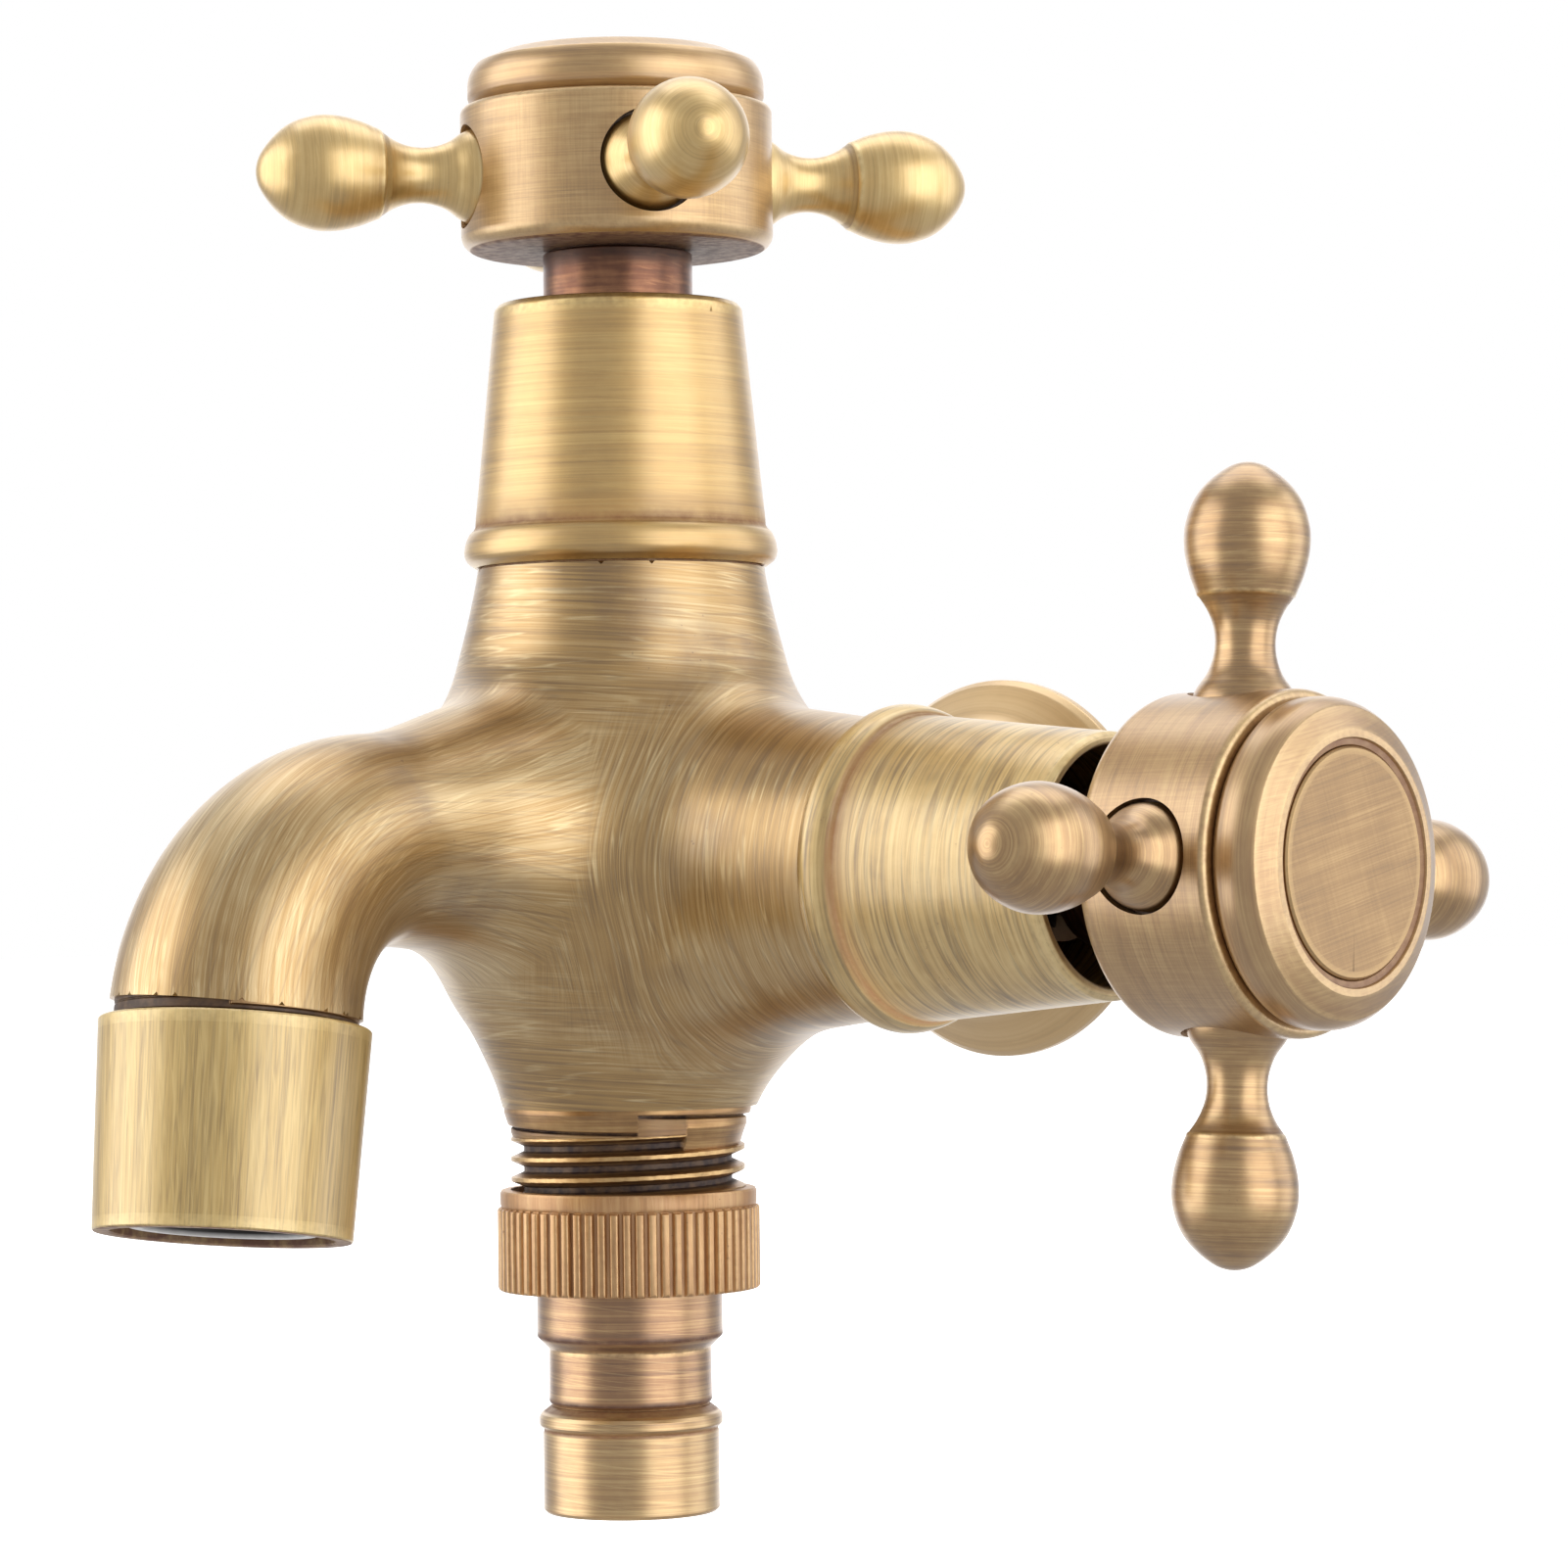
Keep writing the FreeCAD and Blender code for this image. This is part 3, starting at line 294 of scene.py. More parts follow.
def spout_parts(P):
    """Distance to the spout's centre line, radius there, and the place along and around it."""
    o, u, x = -P[:, 1], P[:, 2], P[:, 0]
    po = np.stack([o, u], 1)
    # straight run
    t = (po - S_A) @ S_GO
    tc = np.clip(t, 0, S_LEN)
    q = S_A + tc[:, None] * S_GO
    d1 = np.sqrt(np.sum((po - q) ** 2, 1) + x * x)
    f = np.clip(tc / S_LEN, 0, 1)
    b = np.clip((f - 0.6) / 0.4, 0, 1)
    slow = 0.6 * (1 + 2 * b) * (1 - b) ** 2 + 0.4 * b * (1 - b) ** 2 + b * b * (3 - 2 * b)
    r1 = R_ROOT + (R_WAIST - R_ROOT) * np.where(f < 0.6, f, slow)
    n1 = -(po - S_A) @ S_N
    # bend
    w = po - S_C
    ang = np.arctan2(w[:, 1], w[:, 0])
    k = np.clip((A0 - ang) / S_SWEEP, 0, 1)
    k = np.where(np.hypot(w[:, 0], w[:, 1]) < 1e-9, 0, k)
    q = S_C + S_RAD * np.stack([np.cos(A0 - k * S_SWEEP), np.sin(A0 - k * S_SWEEP)], 1)
    d2 = np.sqrt(np.sum((po - q) ** 2, 1) + x * x)
    ease = k * k * (3 - 2 * k)
    r2 = R_WAIST + (R_END - R_WAIST) * (0.55 * k + 0.45 * ease)
    n2 = np.hypot(w[:, 0], w[:, 1]) - S_RAD
    # end run
    t3 = (po - S_E) @ S_OUT
    t3c = np.maximum(t3, 0)
    q = S_E + t3c[:, None] * S_OUT
    d3 = np.sqrt(np.sum((po - q) ** 2, 1) + x * x)
    perp = np.array([-S_OUT[1], S_OUT[0]])
    n3 = (po - S_E) @ perp
    r3 = np.full(len(P), R_END)
    g = np.stack([d1 - r1, d2 - r2, d3 - r3], 1)
    which = np.argmin(g, 1)
    rows = np.arange(len(P))
    along = np.stack([tc + 0 * t, S_LEN + k * S_SWEEP * S_RAD, S_LEN + S_SWEEP * S_RAD + t3c], 1)[rows, which]
    side = np.stack([n1, n2, n3], 1)[rows, which]
    return g[rows, which], along, side


def turned_field(rho, t, tab):
    r = np.interp(t, tab[0], tab[1])
    s = np.interp(t, tab[0], tab[2])
    return (rho - r) / np.sqrt(1 + s * s)


def smin(a, b, k):
    h = np.maximum(k - np.abs(a - b), 0) / k
    return np.minimum(a, b) - h * h * k * 0.25


def branches(P):
    x, y, z = P[:, 0], P[:, 1], P[:, 2]
    fz = turned_field(np.hypot(x, y), z, UPRIGHT)
    xr = np.hypot(np.hypot(y, z), np.minimum(x * 1.6, 0))
    fx = turned_field(xr, np.maximum(x, 0), SIDEWAYS)
    yr = np.hypot(np.hypot(x, z), np.minimum(y * 1.6, 0))
    fy = turned_field(yr, np.maximum(y, 0), REARWARD)
    fs, along, side = spout_parts(P)
    return fz, fx, fy, fs, along, side


def outer(P):
    z = P[:, 2]
    fz, fx, fy, fs, _, _ = branches(P)
    kx = np.interp(z, [-9, 5], [9.0, 4.6])
    # the blank side keeps the plain round of the upright
    blank = 1 - 0.78 * np.exp(-(((P[:, 0] + 17) / 5.0) ** 2) - (P[:, 1] / 8.0) ** 2)
    ks = (4.6 + 5.0 * np.exp(-((z / 9.0) ** 2))) * blank
    f = smin(fz, fx, kx)
    f = smin(f, fs, ks)
    return smin(f, fy, 6.0 * blank)


UP_AT, SIDE_AT, LOW_AT, REAR_AT = 27.2, 31.85, 20.9, 43.0


def planes(P):
    """Signed distance past each turned end face."""
    o = (-P[:, 1] - S_E[0]) * S_OUT[0] + (P[:, 2] - S_E[1]) * S_OUT[1]
    # the outlet plane only trims the spout, so it is let go near the body
    o = np.where(-P[:, 1] > 30, o, -5.0)
    return np.stack([P[:, 2] - UP_AT, P[:, 0] - SIDE_AT, -P[:, 2] - LOW_AT, P[:, 1] - REAR_AT, o], 1)


def holes(P):
    """Signed distance into the water ways and valve sockets; negative inside them."""
    x, y, z = P[:, 0], P[:, 1], P[:, 2]

    def tube(rho, t, r, lo):
        return np.maximum(rho - r, lo - t)

    ru, rs, rb = np.hypot(x, y), np.hypot(y, z), np.hypot(x, z)
    parts = [
        tube(ru, z, 10.53, UP_AT - 8.2), tube(ru, z, 9.6, UP_AT - 17.6), tube(ru, z, 4.0, 0.0),
        tube(rs, x, 10.53, SIDE_AT - 8.2), tube(rs, x, 9.6, SIDE_AT - 17.6), tube(rs, x, 4.0, 0.0),
        tube(rb, y, 6.2, 0.0), tube(ru, -z, 6.6, 9.0),
    ]
    return np.min(np.stack(parts, 1), 1)


def solid(P):
    return np.maximum(np.maximum(outer(P), planes(P).max(1)), -holes(P))


def gradient(f, P, h=0.01):
    g = np.empty_like(P)
    for a in range(3):
        d = np.zeros(3)
        d[a] = h
        g[:, a] = (f(P + d) - f(P - d)) / (2 * h)
    return g


def surface_nets(f, lo, hi, h):
    lo, hi = np.array(lo, float), np.array(hi, float)
    n = np.ceil((hi - lo) / h).astype(int) + 1
    ax = [lo[i] + h * np.arange(n[i]) for i in range(3)]
    F = np.empty(n, np.float32)
    for i in range(n[0]):
        yy, zz = np.meshgrid(ax[1], ax[2], indexing="ij")
        P = np.stack([np.full(yy.size, ax[0][i]), yy.ravel(), zz.ravel()], 1)
        F[i] = f(P).reshape(n[1], n[2])
    inside = F < 0
    cells = n - 1
    total = int(np.prod(cells))
    cnt = np.zeros(total)
    acc = np.zeros((total, 3))
    quads = []
    for a in range(3):
        b, c = (a + 1) % 3, (a + 2) % 3
        s0 = [slice(None)] * 3
        s1 = [slice(None)] * 3
        s0[a], s1[a] = slice(0, -1), slice(1, None)
        s0, s1 = tuple(s0), tuple(s1)
        cross = inside[s0] != inside[s1]
        idx = np.argwhere(cross)
        f0, f1 = F[s0][cross], F[s1][cross]
        pos = idx.astype(float)
        pos[:, a] += f0 / (f0 - f1)
        ids = []
        ok = np.ones(len(idx), bool)
        for db, dc in ((0, 0), (1, 0), (1, 1), (0, 1)):
            cell = idx.copy()
            cell[:, b] -= db
            cell[:, c] -= dc
            good = (cell >= 0).all(1) & (cell < cells).all(1)
            lin = (cell[:, 0] * cells[1] + cell[:, 1]) * cells[2] + cell[:, 2]
            ok &= good
            ids.append(np.where(good, lin, 0))
            lg = lin[good]
            cnt += np.bincount(lg, minlength=total)
            for k in range(3):
                acc[:, k] += np.bincount(lg, weights=pos[good, k], minlength=total)
        q = np.stack(ids, 1)[ok]
        way = (f0 < 0)[ok]
        q[~way] = q[~way][:, ::-1]
        quads.append(q)
    used = np.flatnonzero(cnt)
    remap = np.full(total, -1)
    remap[used] = np.arange(len(used))
    verts = acc[used] / cnt[used][:, None] * h + lo
    return verts, remap[np.concatenate(quads)]


def settle(P, h):
    """Moves net points on to the surface, and those beside a turned edge on to the edge."""
    for _ in range(4):
        f = solid(P)
        g = gradient(solid, P)
        g2 = np.maximum(np.sum(g * g, 1), 0.05)
        step = g * (f / g2)[:, None]
        ln = np.linalg.norm(step, axis=1)
        step *= np.minimum(1, 0.4 * h / np.maximum(ln, 1e-9))[:, None]
        P = P - step
    near_plane = planes(P).max(1)
    fo = outer(P)
    edge = (np.abs(near_plane) < 0.62 * h) & (np.abs(fo) < 0.62 * h)
    E = P[edge]
    for _ in range(6):
        for fn in (outer, lambda Q: planes(Q).max(1)):
            f = fn(E)
            g = gradient(fn, E, 0.003)
            E = E - g * (f / np.maximum(np.sum(g * g, 1), 0.2))[:, None]
    P = P.copy()
    moved = np.linalg.norm(E - P[edge], axis=1) < 1.2 * h
    Q = P[edge]
    Q[moved] = E[moved]
    P[edge] = Q
    return P


def make_skin():
    h = 0.45
    v, q = surface_nets(solid, (-20.5, -60, -24), (33, 44, 28.2), h)
    v = settle(v, h)
    fz, fx, fy, fs, along, side = branches(v)
    w = np.exp(-np.stack([fz, fx, fs, fy], 1) / 0.7)
    # strokes of the spout fade out where the cross begins, those of the side branch run over the front
    nn = gradient(outer, v, 0.05)
    nn /= np.maximum(np.linalg.norm(nn, axis=1), 1e-9)[:, None]
    w[:, 1] *= np.interp(v[:, 0], [-12, -4], [0.05, 1.8]) * np.interp(-v[:, 1], [21, 27], [1.0, 0.05])
    facing = np.abs(-nn[:, 1] * S_GO[0] + nn[:, 2] * S_GO[1])
    w[:, 2] *= np.interp(-v[:, 1], [15, 23], [0.02, 1.5]) * np.where(along < S_LEN, np.clip((0.86 - facing) / 0.42, 0.0, 1), 1.0)
    w = np.maximum(w, 1e-9) ** 1.2
    w /= w.sum(1)[:, None]
    # across the strokes of the side branch: its own axis, bent toward the spout in the corner between them
    bend = v[:, 0] + 0.9 * np.interp(v[:, 0], [8, 16], [1.0, 0.0]) * np.minimum(v[:, 1] + 9, 0)
    faces = [tuple(int(i) for i in f) for f in q]
    place = move(CENTRE)
    o = finish_mesh("body_casting_skin", v * MM, faces, v, np.zeros(len(v)), scaled(place))
    a = o.data.attributes.new("share", "FLOAT_VECTOR", "POINT")
    a.data.foreach_set("vector", w[:, :3].astype(np.float32).ravel())
    c = o.data.attributes.new("branch", "FLOAT_VECTOR", "POINT")
    c.data.foreach_set("vector", np.stack([v[:, 1], v[:, 2], bend], 1).astype(np.float32).ravel())
    b = o.data.attributes.new("unrolled", "FLOAT_VECTOR", "POINT")
    # on a drum of one size, so that strokes along the spout stay unbroken where it widens
    rho = np.maximum(np.hypot(v[:, 0], side), 1e-6)
    b.data.foreach_set("vector", np.stack([v[:, 0] / rho * 12.0, side / rho * 12.0, along], 1).astype(np.float32).ravel())
    o.data.set_sharp_from_angle(angle=math.radians(38))
    return o


# ------------------------------------------------------------------ threads
def wall_of_turns(name, radius, z0, z1, place, nz, nth, bore=None, bore_depth=None, worn=None):
    """A round bar about local Z whose radius varies with angle and height, from z0 up to z1.
    The lower end is closed by a flat ring, with a bore in it if given."""
    zs = np.linspace(z0, z1, nz)
    th = np.linspace(0, 2 * math.pi, nth, endpoint=False)
    Z, T = np.meshgrid(zs, th, indexing="ij")
    R = radius(T, Z)
    e = 1e-3
    dRz = (radius(T, Z + e) - radius(T, Z - e)) / (2 * e)
    dRt = (radius(T + e, Z) - radius(T - e, Z)) / (2 * e)
    er = np.stack([np.cos(T), np.sin(T), 0 * T], -1)
    et = np.stack([-np.sin(T), np.cos(T), 0 * T], -1)
    ez = np.stack([0 * T, 0 * T, 1 + 0 * T], -1)
    N = er - ez * dRz[..., None] - et * (dRt / R)[..., None]
    N /= np.linalg.norm(N, axis=-1)[..., None]
    V = er * R[..., None] + ez * Z[..., None]
    verts = [V.reshape(-1, 3)]
    normals = [N.reshape(-1, 3)]
    faces = []
    for i in range(nz - 1):
        for k in range(nth):
            k2 = (k + 1) % nth
            faces.append((i * nth + k, i * nth + k2, (i + 1) * nth + k2, (i + 1) * nth + k))
    base = nz * nth

    def ring(r, z, n):
        nonlocal base
        p = np.stack([r * np.cos(th), r * np.sin(th), np.full(nth, z)], 1)
        verts.append(p)
        normals.append(np.array([n] * nth) if not callable(n) else n(th))
        base += nth
        return base - nth

    def join(a, b):
        for k in range(nth):
            k2 = (k + 1) % nth
            faces.append((a + k, a + k2, b + k2, b + k))

    out = lambda s: (lambda t: np.stack([s * np.cos(t), s * np.sin(t), 0 * t], 1))
    b0 = bore if bore else 0.4
    depth = bore_depth if bore else 0.5
    # lower end ring, then up the bore, then the bore's end, then the upper end ring
    r_end = R[0].min()
    a = ring(R[0], z0, (0, 0, -1))
    b = ring(b0 + 0.25, z0, (0, 0, -1))
    join(b, a)
    c = ring(b0, z0 + 0.25, out(-1))
    join(c, b)
    d = ring(b0, z0 + depth, out(-1))
    join(d, c)
    e1 = ring(b0, z0 + depth, (0, 0, -1))
    verts.append(np.array([[0, 0, z0 + depth]]))
    normals.append(np.array([[0, 0, -1.0]]))
    pole = base
    base += 1
    for k in range(nth):
        faces.append((pole, e1 + (k + 1) % nth, e1 + k))
    g = ring(R[-1], z1, (0, 0, 1))
    verts.append(np.array([[0, 0, z1]]))
    normals.append(np.array([[0, 0, 1.0]]))
    pole = base
    base += 1
    for k in range(nth):
        faces.append((pole, g + k, g + (k + 1) % nth))
    verts = np.concatenate(verts)
    normals = np.concatenate(normals)
    top_r = float(R.max())
    rr = np.hypot(verts[:, 0], verts[:, 1])
    wear_and_shade = np.clip((rr - (top_r - 0.35)) / 0.35, 0, 1) - np.clip(((top_r - 0.75) - rr) / 0.4, 0, 1)
    wear_and_shade[np.abs(verts[:, 2] - z0) < 0.3] *= 0.4
    if worn is not None:
        wear_and_shade[: nz * nth] = worn(T, Z, R).ravel()
    return finish_mesh(name, verts * MM, faces, verts, wear_and_shade, scaled(place), normals)


def thread_shape(u, crest=0.34, root=0.42, depth=1.16, pitch=1.8143):
    """Depth below the crest at position u in the pitch, 0 in the middle of the groove."""
    d = np.abs((u + pitch / 2) % pitch - pitch / 2)
    k = np.clip((d - root / 2) / ((pitch - crest) / 2 - root / 2), 0, 1)
    k = np.where(k < 0.5, 0.5 * (2 * k) ** 1.15, 1 - 0.5 * (2 * (1 - k)) ** 1.15)
    return depth * (1 - k)


PITCH = 1.8143


STEP_TURN = math.radians(-17.7)
SPIRAL_TURN = math.radians(-42)


def thread_start(T, Z):
    """How far the thread is cut (1) or the turned end of the casting is left (0)."""
    turn = ((T - STEP_TURN) % (2 * math.pi)) / (2 * math.pi)
    return np.clip((-24.45 + 1.35 * turn - Z) / 0.10, 0, 1), turn


def spiral_line(T):
    turn = ((T - SPIRAL_TURN) % (2 * math.pi)) / (2 * math.pi)
    return -21.3 - 1.55 * turn, turn


def lower_thread(T, Z):
    r0 = 10.4775
    cut, turn = thread_start(T, Z)
    line_at, along = spiral_line(T)
    plain = np.interp(Z, UPRIGHT[0], UPRIGHT[1])
    below = np.clip((line_at - Z) / 0.08, 0, 1)
    land = 10.66 - 0.22 * np.clip((turn - 0.5) / 0.2, 0, 1)
    r = plain * (1 - below) + np.minimum(land, plain) * below
    r = r - 0.30 * np.exp(-(((Z - line_at + 0.17) / 0.12) ** 2)) * np.clip(along / 0.05, 0, 1)
    g = thread_shape(Z - PITCH * T / (2 * math.pi) + 0.35)
    r = r * (1 - cut) + (r0 - g) * cut
    tip = np.clip((Z + 32.9) / 0.9, 0, 1)
    return np.minimum(r, r0 - 0.85 * (1 - tip) + 0.6 * (tip >= 1))


def lower_worn(T, Z, R):
    cut, turn = thread_start(T, Z)
    line_at, along = spiral_line(T)
    thread = 0.9 * np.clip((R - 10.15) / 0.3, 0, 1) - np.clip((9.95 - R) / 0.35, 0, 1)
    ring = -0.9 * np.exp(-(((Z - line_at + 0.17) / 0.16) ** 2)) - 0.45 * np.clip((turn - 0.5) / 0.2, 0, 1) * (Z < line_at)
    return np.where(cut > 0.5, thread, np.maximum(ring, -1))


def inlet_turns(T, Z):
    r0 = 10.4775
    g = thread_shape(Z - PITCH * T / (2 * math.pi))
    fade = np.clip((Z + 13.7) / -0.6, 0, 1) * 0
    lo = np.clip((Z + 14.514) / 0.9, 0, 1)
    r = r0 - g * (1 - fade)
    r = np.minimum(r, r0 - 0.9 * (1 - lo))
    end = np.clip((Z + 0.9) / 0.3, 0, 1)
    return r * (1 - end) + 9.4 * end


def nose_turn(T, Z):
    """The turned end of the spout above the collar; Z runs from the spout's end face outward.
    A wide groove runs part of the way round and ends in a step."""
    t = (STEP_AT - T) % (2 * math.pi)
    land = np.clip(t / 0.02, 0, 1) * np.clip((2.15 - t) / 1.3, 0, 1)
    low = np.clip((Z - 0.62) / 0.10, 0, 1)
    r = 10.05 + 0.36 * land * (1 - low)
    return r - 0.30 * np.clip((Z - 0.95) / 0.12, 0, 1) - 0.12 * np.exp(-(((Z - 0.12) / 0.09) ** 2))


def nose_worn(T, Z, R):
    return np.clip((R - 10.2) / 0.15, 0, 1) * 0.35 - 0.9 * np.clip((10.15 - R) / 0.1, 0, 1)


STEP_AT = 1.5175


# ------------------------------------------------------------------ hose nut with its fluted grip
def make_nut():
    nt, nb, rk, rf = -28.25, -37.25, 11.74, 11.49
    count = 64
    zt = nt - 1.6
    rings = [
        (10.54, nt + 0.0, 0), (rf - 0.32, nt, 0), (rf - 0.12, nt - 0.07, 0), (rf, nt - 0.3, 0), (rf, zt + 0.34, 0), (rf - 0.05, zt + 0.12, 0),
        (rf - 0.12, zt + 0.02, 0), (rf - 0.11, zt - 0.03, 1), (rk - 0.16, zt - 0.06, 1), (rk - 0.05, zt - 0.13, 1), (rk, zt - 0.26, 1),
        (rk, nb + 0.30, 1), (rk - 0.06, nb + 0.13, 1), (rk - 0.18, nb + 0.03, 1), (rk - 0.36, nb, 1), (9.2, nb, 0), (8.38, nb, 0),
        (8.38, nb + 1.1, 0), (10.54, nb + 1.1, 0),
    ]
    # angular stations of one flute: ridge, edge rounds, groove floor
    pitch = 2 * math.pi / count
    hw = 0.27 / rk
    st = [(-0.5 * pitch, 0.0), (-hw - 0.010, 0.0), (-hw - 0.002, 0.05), (-hw + 0.003, 0.14), (-hw * 0.66, 0.40), (-hw * 0.45, 0.46),
          (hw * 0.45, 0.46), (hw * 0.66, 0.40), (hw - 0.003, 0.14), (hw + 0.002, 0.05), (hw + 0.010, 0.0)]
    ang, cut = [], []
    rng = np.random.default_rng(7)
    for i in range(count):
        jit = rng.normal(0, 0.02)
        deep = 1 + rng.normal(0, 0.10)
        for a, d in st:
            ang.append(i * pitch + a + jit * pitch * (abs(a) < pitch * 0.4))
            cut.append(d * deep)
    ang, cut = np.array(ang), np.array(cut)
    n = len(ang)
    verts, wear_and_shade = [], []
    for r, z, fl in rings:
        rr = np.full(n, r)
        if fl:
            rr = np.minimum(rr, rk - cut)
        verts.append(np.stack([rr * np.cos(ang), rr * np.sin(ang), np.full(n, z)], 1))
        w = np.where(fl, np.where(cut > 0.3, -0.45, np.where(cut > 0.01, 0.7, 0.25)), 0.0)
        if not fl and abs(r - rf) < 0.4 and z > zt - 0.1:
            w = w + (0.35 if z > nt - 0.2 else -0.15)
        wear_and_shade.append(w * np.ones(n))
    faces = []
    m = len(rings)
    for i in range(m):
        j = (i + 1) % m
        for k in range(n):
            k2 = (k + 1) % n
            faces.append((i * n + k, j * n + k, j * n + k2, i * n + k2))
    verts = np.concatenate(verts)
    o = finish_mesh("hose_nut_fluted", verts * MM, faces, verts, np.concatenate(wear_and_shade), scaled(move(CENTRE)))
    o.data.set_sharp_from_angle(angle=math.radians(32))
    return o


# ------------------------------------------------------------------ handle hub, drilled for the spokes
def make_hub(name, place):
    br, sr = 6.7, 4.0
    hr, hh, sh = 14.02, 12.97, 6.48
    o = lathe(
        name,
        [(br - 0.65, 0), (hr - 1.75, 0), (hr - 1.5, 0, 1.5), (hr, 1.5), (hr, hh - 0.7, 0.7), (hr - 0.7, hh), (10.4, hh), (10.4, 9.4), (5.2, 9.4),
         (5.2, 5.2), (sr + 0.1, 5.2), (sr + 0.1, 3.25), (br - 0.65, 3.25)],
        Matrix.Identity(4), segs=256, ease=0.06,
    )
    # counterbores for the spoke feet
    cutter = bpy.data.meshes.new(name + "_cutter")
    bm = bmesh.new()
    for k in range(4):
        m = Matrix.Rotation(math.radians(90 * k), 4, "Z") @ Matrix.Translation((13.7 * MM, 0, sh * MM)) @ Matrix.Rotation(math.radians(90), 4, "Y")
        bmesh.ops.create_cone(bm, cap_ends=True, segments=96, radius1=4.62 * MM, radius2=4.62 * MM, depth=4.0 * MM, matrix=m)
    bm.to_mesh(cutter)
    bm.free()
    co = bpy.data.objects.new(name + "_cutter", cutter)
    scene.collection.objects.link(co)
    mod = o.modifiers.new("drill", "BOOLEAN")
    mod.operation = "DIFFERENCE"
    mod.solver = "EXACT"
    mod.object = co
    bpy.context.view_layer.update()
    dg = bpy.context.evaluated_depsgraph_get()
    me = bpy.data.meshes.new_from_object(o.evaluated_get(dg))
    o.modifiers.clear()
    bpy.data.objects.remove(co)
    old = o.data
    o.data = me
    bpy.data.meshes.remove(old)
    me.name = name
    n = len(me.vertices)
    xyz = np.zeros(n * 3, np.float32)
    me.vertices.foreach_get("co", xyz)
    xyz = xyz.reshape(-1, 3) / MM
    for att in ("loc", "wear_and_shade"):
        if att in me.attributes:
            me.attributes.remove(me.attributes[att])
    a = me.attributes.new("loc", "FLOAT_VECTOR", "POINT")
    a.data.foreach_set("vector", xyz.ravel())
    # worn rims at the top and bottom edges; painted shade inside each spoke hole, on the underside and on the top face
    # under the cap
    r = np.hypot(xyz[:, 0], xyz[:, 1])
    w = np.exp(-((xyz[:, 2] - hh + 0.15) / 0.35) ** 2) * (r > 13) + 0.6 * np.exp(-((xyz[:, 2] - 0.8) / 0.5) ** 2) * (r > 13)
    for k in range(4):
        c = math.radians(90 * k)
        side = -xyz[:, 0] * math.sin(c) + xyz[:, 1] * math.cos(c)
        front = xyz[:, 0] * math.cos(c) + xyz[:, 1] * math.sin(c)
        d = np.hypot(side, xyz[:, 2] - sh)
        inner = (d < 4.61) | (r < 13.8)
        # painted shade inside the counterbore round each spoke foot
        w = np.where((front > 10.5) & (d < 4.7) & inner, -1.0, w)
    # painted shade on the underside, over the sleeve
    w = np.where((xyz[:, 2] < 0.25) & (r < 13.2), -1.0, w)
    # painted shade on the top face under the cap
    w = np.where((r < 12.9) & (xyz[:, 2] > hh - 0.1), -0.6, w)
    b = me.attributes.new("wear_and_shade", "FLOAT", "POINT")
    b.data.foreach_set("value", w.astype(np.float32))
    me.polygons.foreach_set("use_smooth", [True] * len(me.polygons))
    normals = np.zeros((len(me.loops), 3))
    turns = [(math.cos(math.radians(90 * k)), math.sin(math.radians(90 * k))) for k in range(4)]
    for poly in me.polygons:
        f = np.array(poly.normal)
        c = np.array(poly.center) / MM
        rc = math.hypot(c[0], c[1])
        bored = None
        for cx, cy in turns:
            front, off, up = c[0] * cx + c[1] * cy, -c[0] * cy + c[1] * cx, c[2] - sh
            if front > 11.6 and abs(math.hypot(off, up) - 4.62) < 0.06 and abs(f[0] * cx + f[1] * cy) < 0.3:
                bored = (cx, cy)
        for li in poly.loop_indices:
            v = xyz[me.loops[li].vertex_index]
            r = math.hypot(v[0], v[1])
            if bored is not None:
                off, up = -v[0] * bored[1] + v[1] * bored[0], v[2] - sh
                d = math.hypot(off, up)
                normals[li] = (off * bored[1] / d, -off * bored[0] / d, -up / d)
            elif rc > 12.4 and c[2] < 1.5 and f[2] > -0.999:
                a, b = r - (hr - 1.5), min(v[2] - 1.5, 0)
                d = max(math.hypot(a, b), 1e-9)
                normals[li] = (v[0] / r * a / d, v[1] / r * a / d, b / d)
            elif rc > 13.3 and c[2] > hh - 0.7 and f[2] < 0.999:
                a, b = r - (hr - 0.7), max(v[2] - (hh - 0.7), 0)
                d = max(math.hypot(a, b), 1e-9)
                normals[li] = (v[0] / r * a / d, v[1] / r * a / d, b / d)
            elif abs(f[2]) < 0.02 and rc > 3:
                way = 1.0 if f[0] * c[0] + f[1] * c[1] > 0 else -1.0
                plate = abs(abs(f[0]) - 1) < 1e-4 or abs(abs(f[1]) - 1) < 1e-4
                normals[li] = f if plate and rc < 13.5 else (way * v[0] / r, way * v[1] / r, 0)
            else:
                normals[li] = f
    me.normals_split_custom_set([tuple(x) for x in normals])
    me.transform(scaled(place))
    me.update()
    return o


# ------------------------------------------------------------------ all pieces
def put(o, body, node, material):
    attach(o, body)
    if node:
        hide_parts(*([node] if isinstance(node, str) else node))
    o.data.materials.clear()
    o.data.materials.append(material)
    return o


SPOKE_FOOT = [(4.38, 12.2), (4.25, 13.3), (3.72, 14.45), (3.12, 15.3), (2.77, 16.1), (2.52, 17.1), (2.46, 18.1), (2.60, 19.2), (2.88, 20.05),
              (3.32, 20.9), (3.80, 21.6)]
SPOKE_END = [(3.98, 21.75), (4.23, 22.4), (4.55, 23.2), (4.79, 24.0), (4.98, 24.8), (5.10, 25.6), (5.14, 26.4), (5.10, 27.2), (4.94, 28.0),
             (4.70, 28.8), (4.35, 29.6), (3.82, 30.4), (3.12, 31.15), (2.12, 31.95), (1.05, 32.52), (0.35, 32.68)]


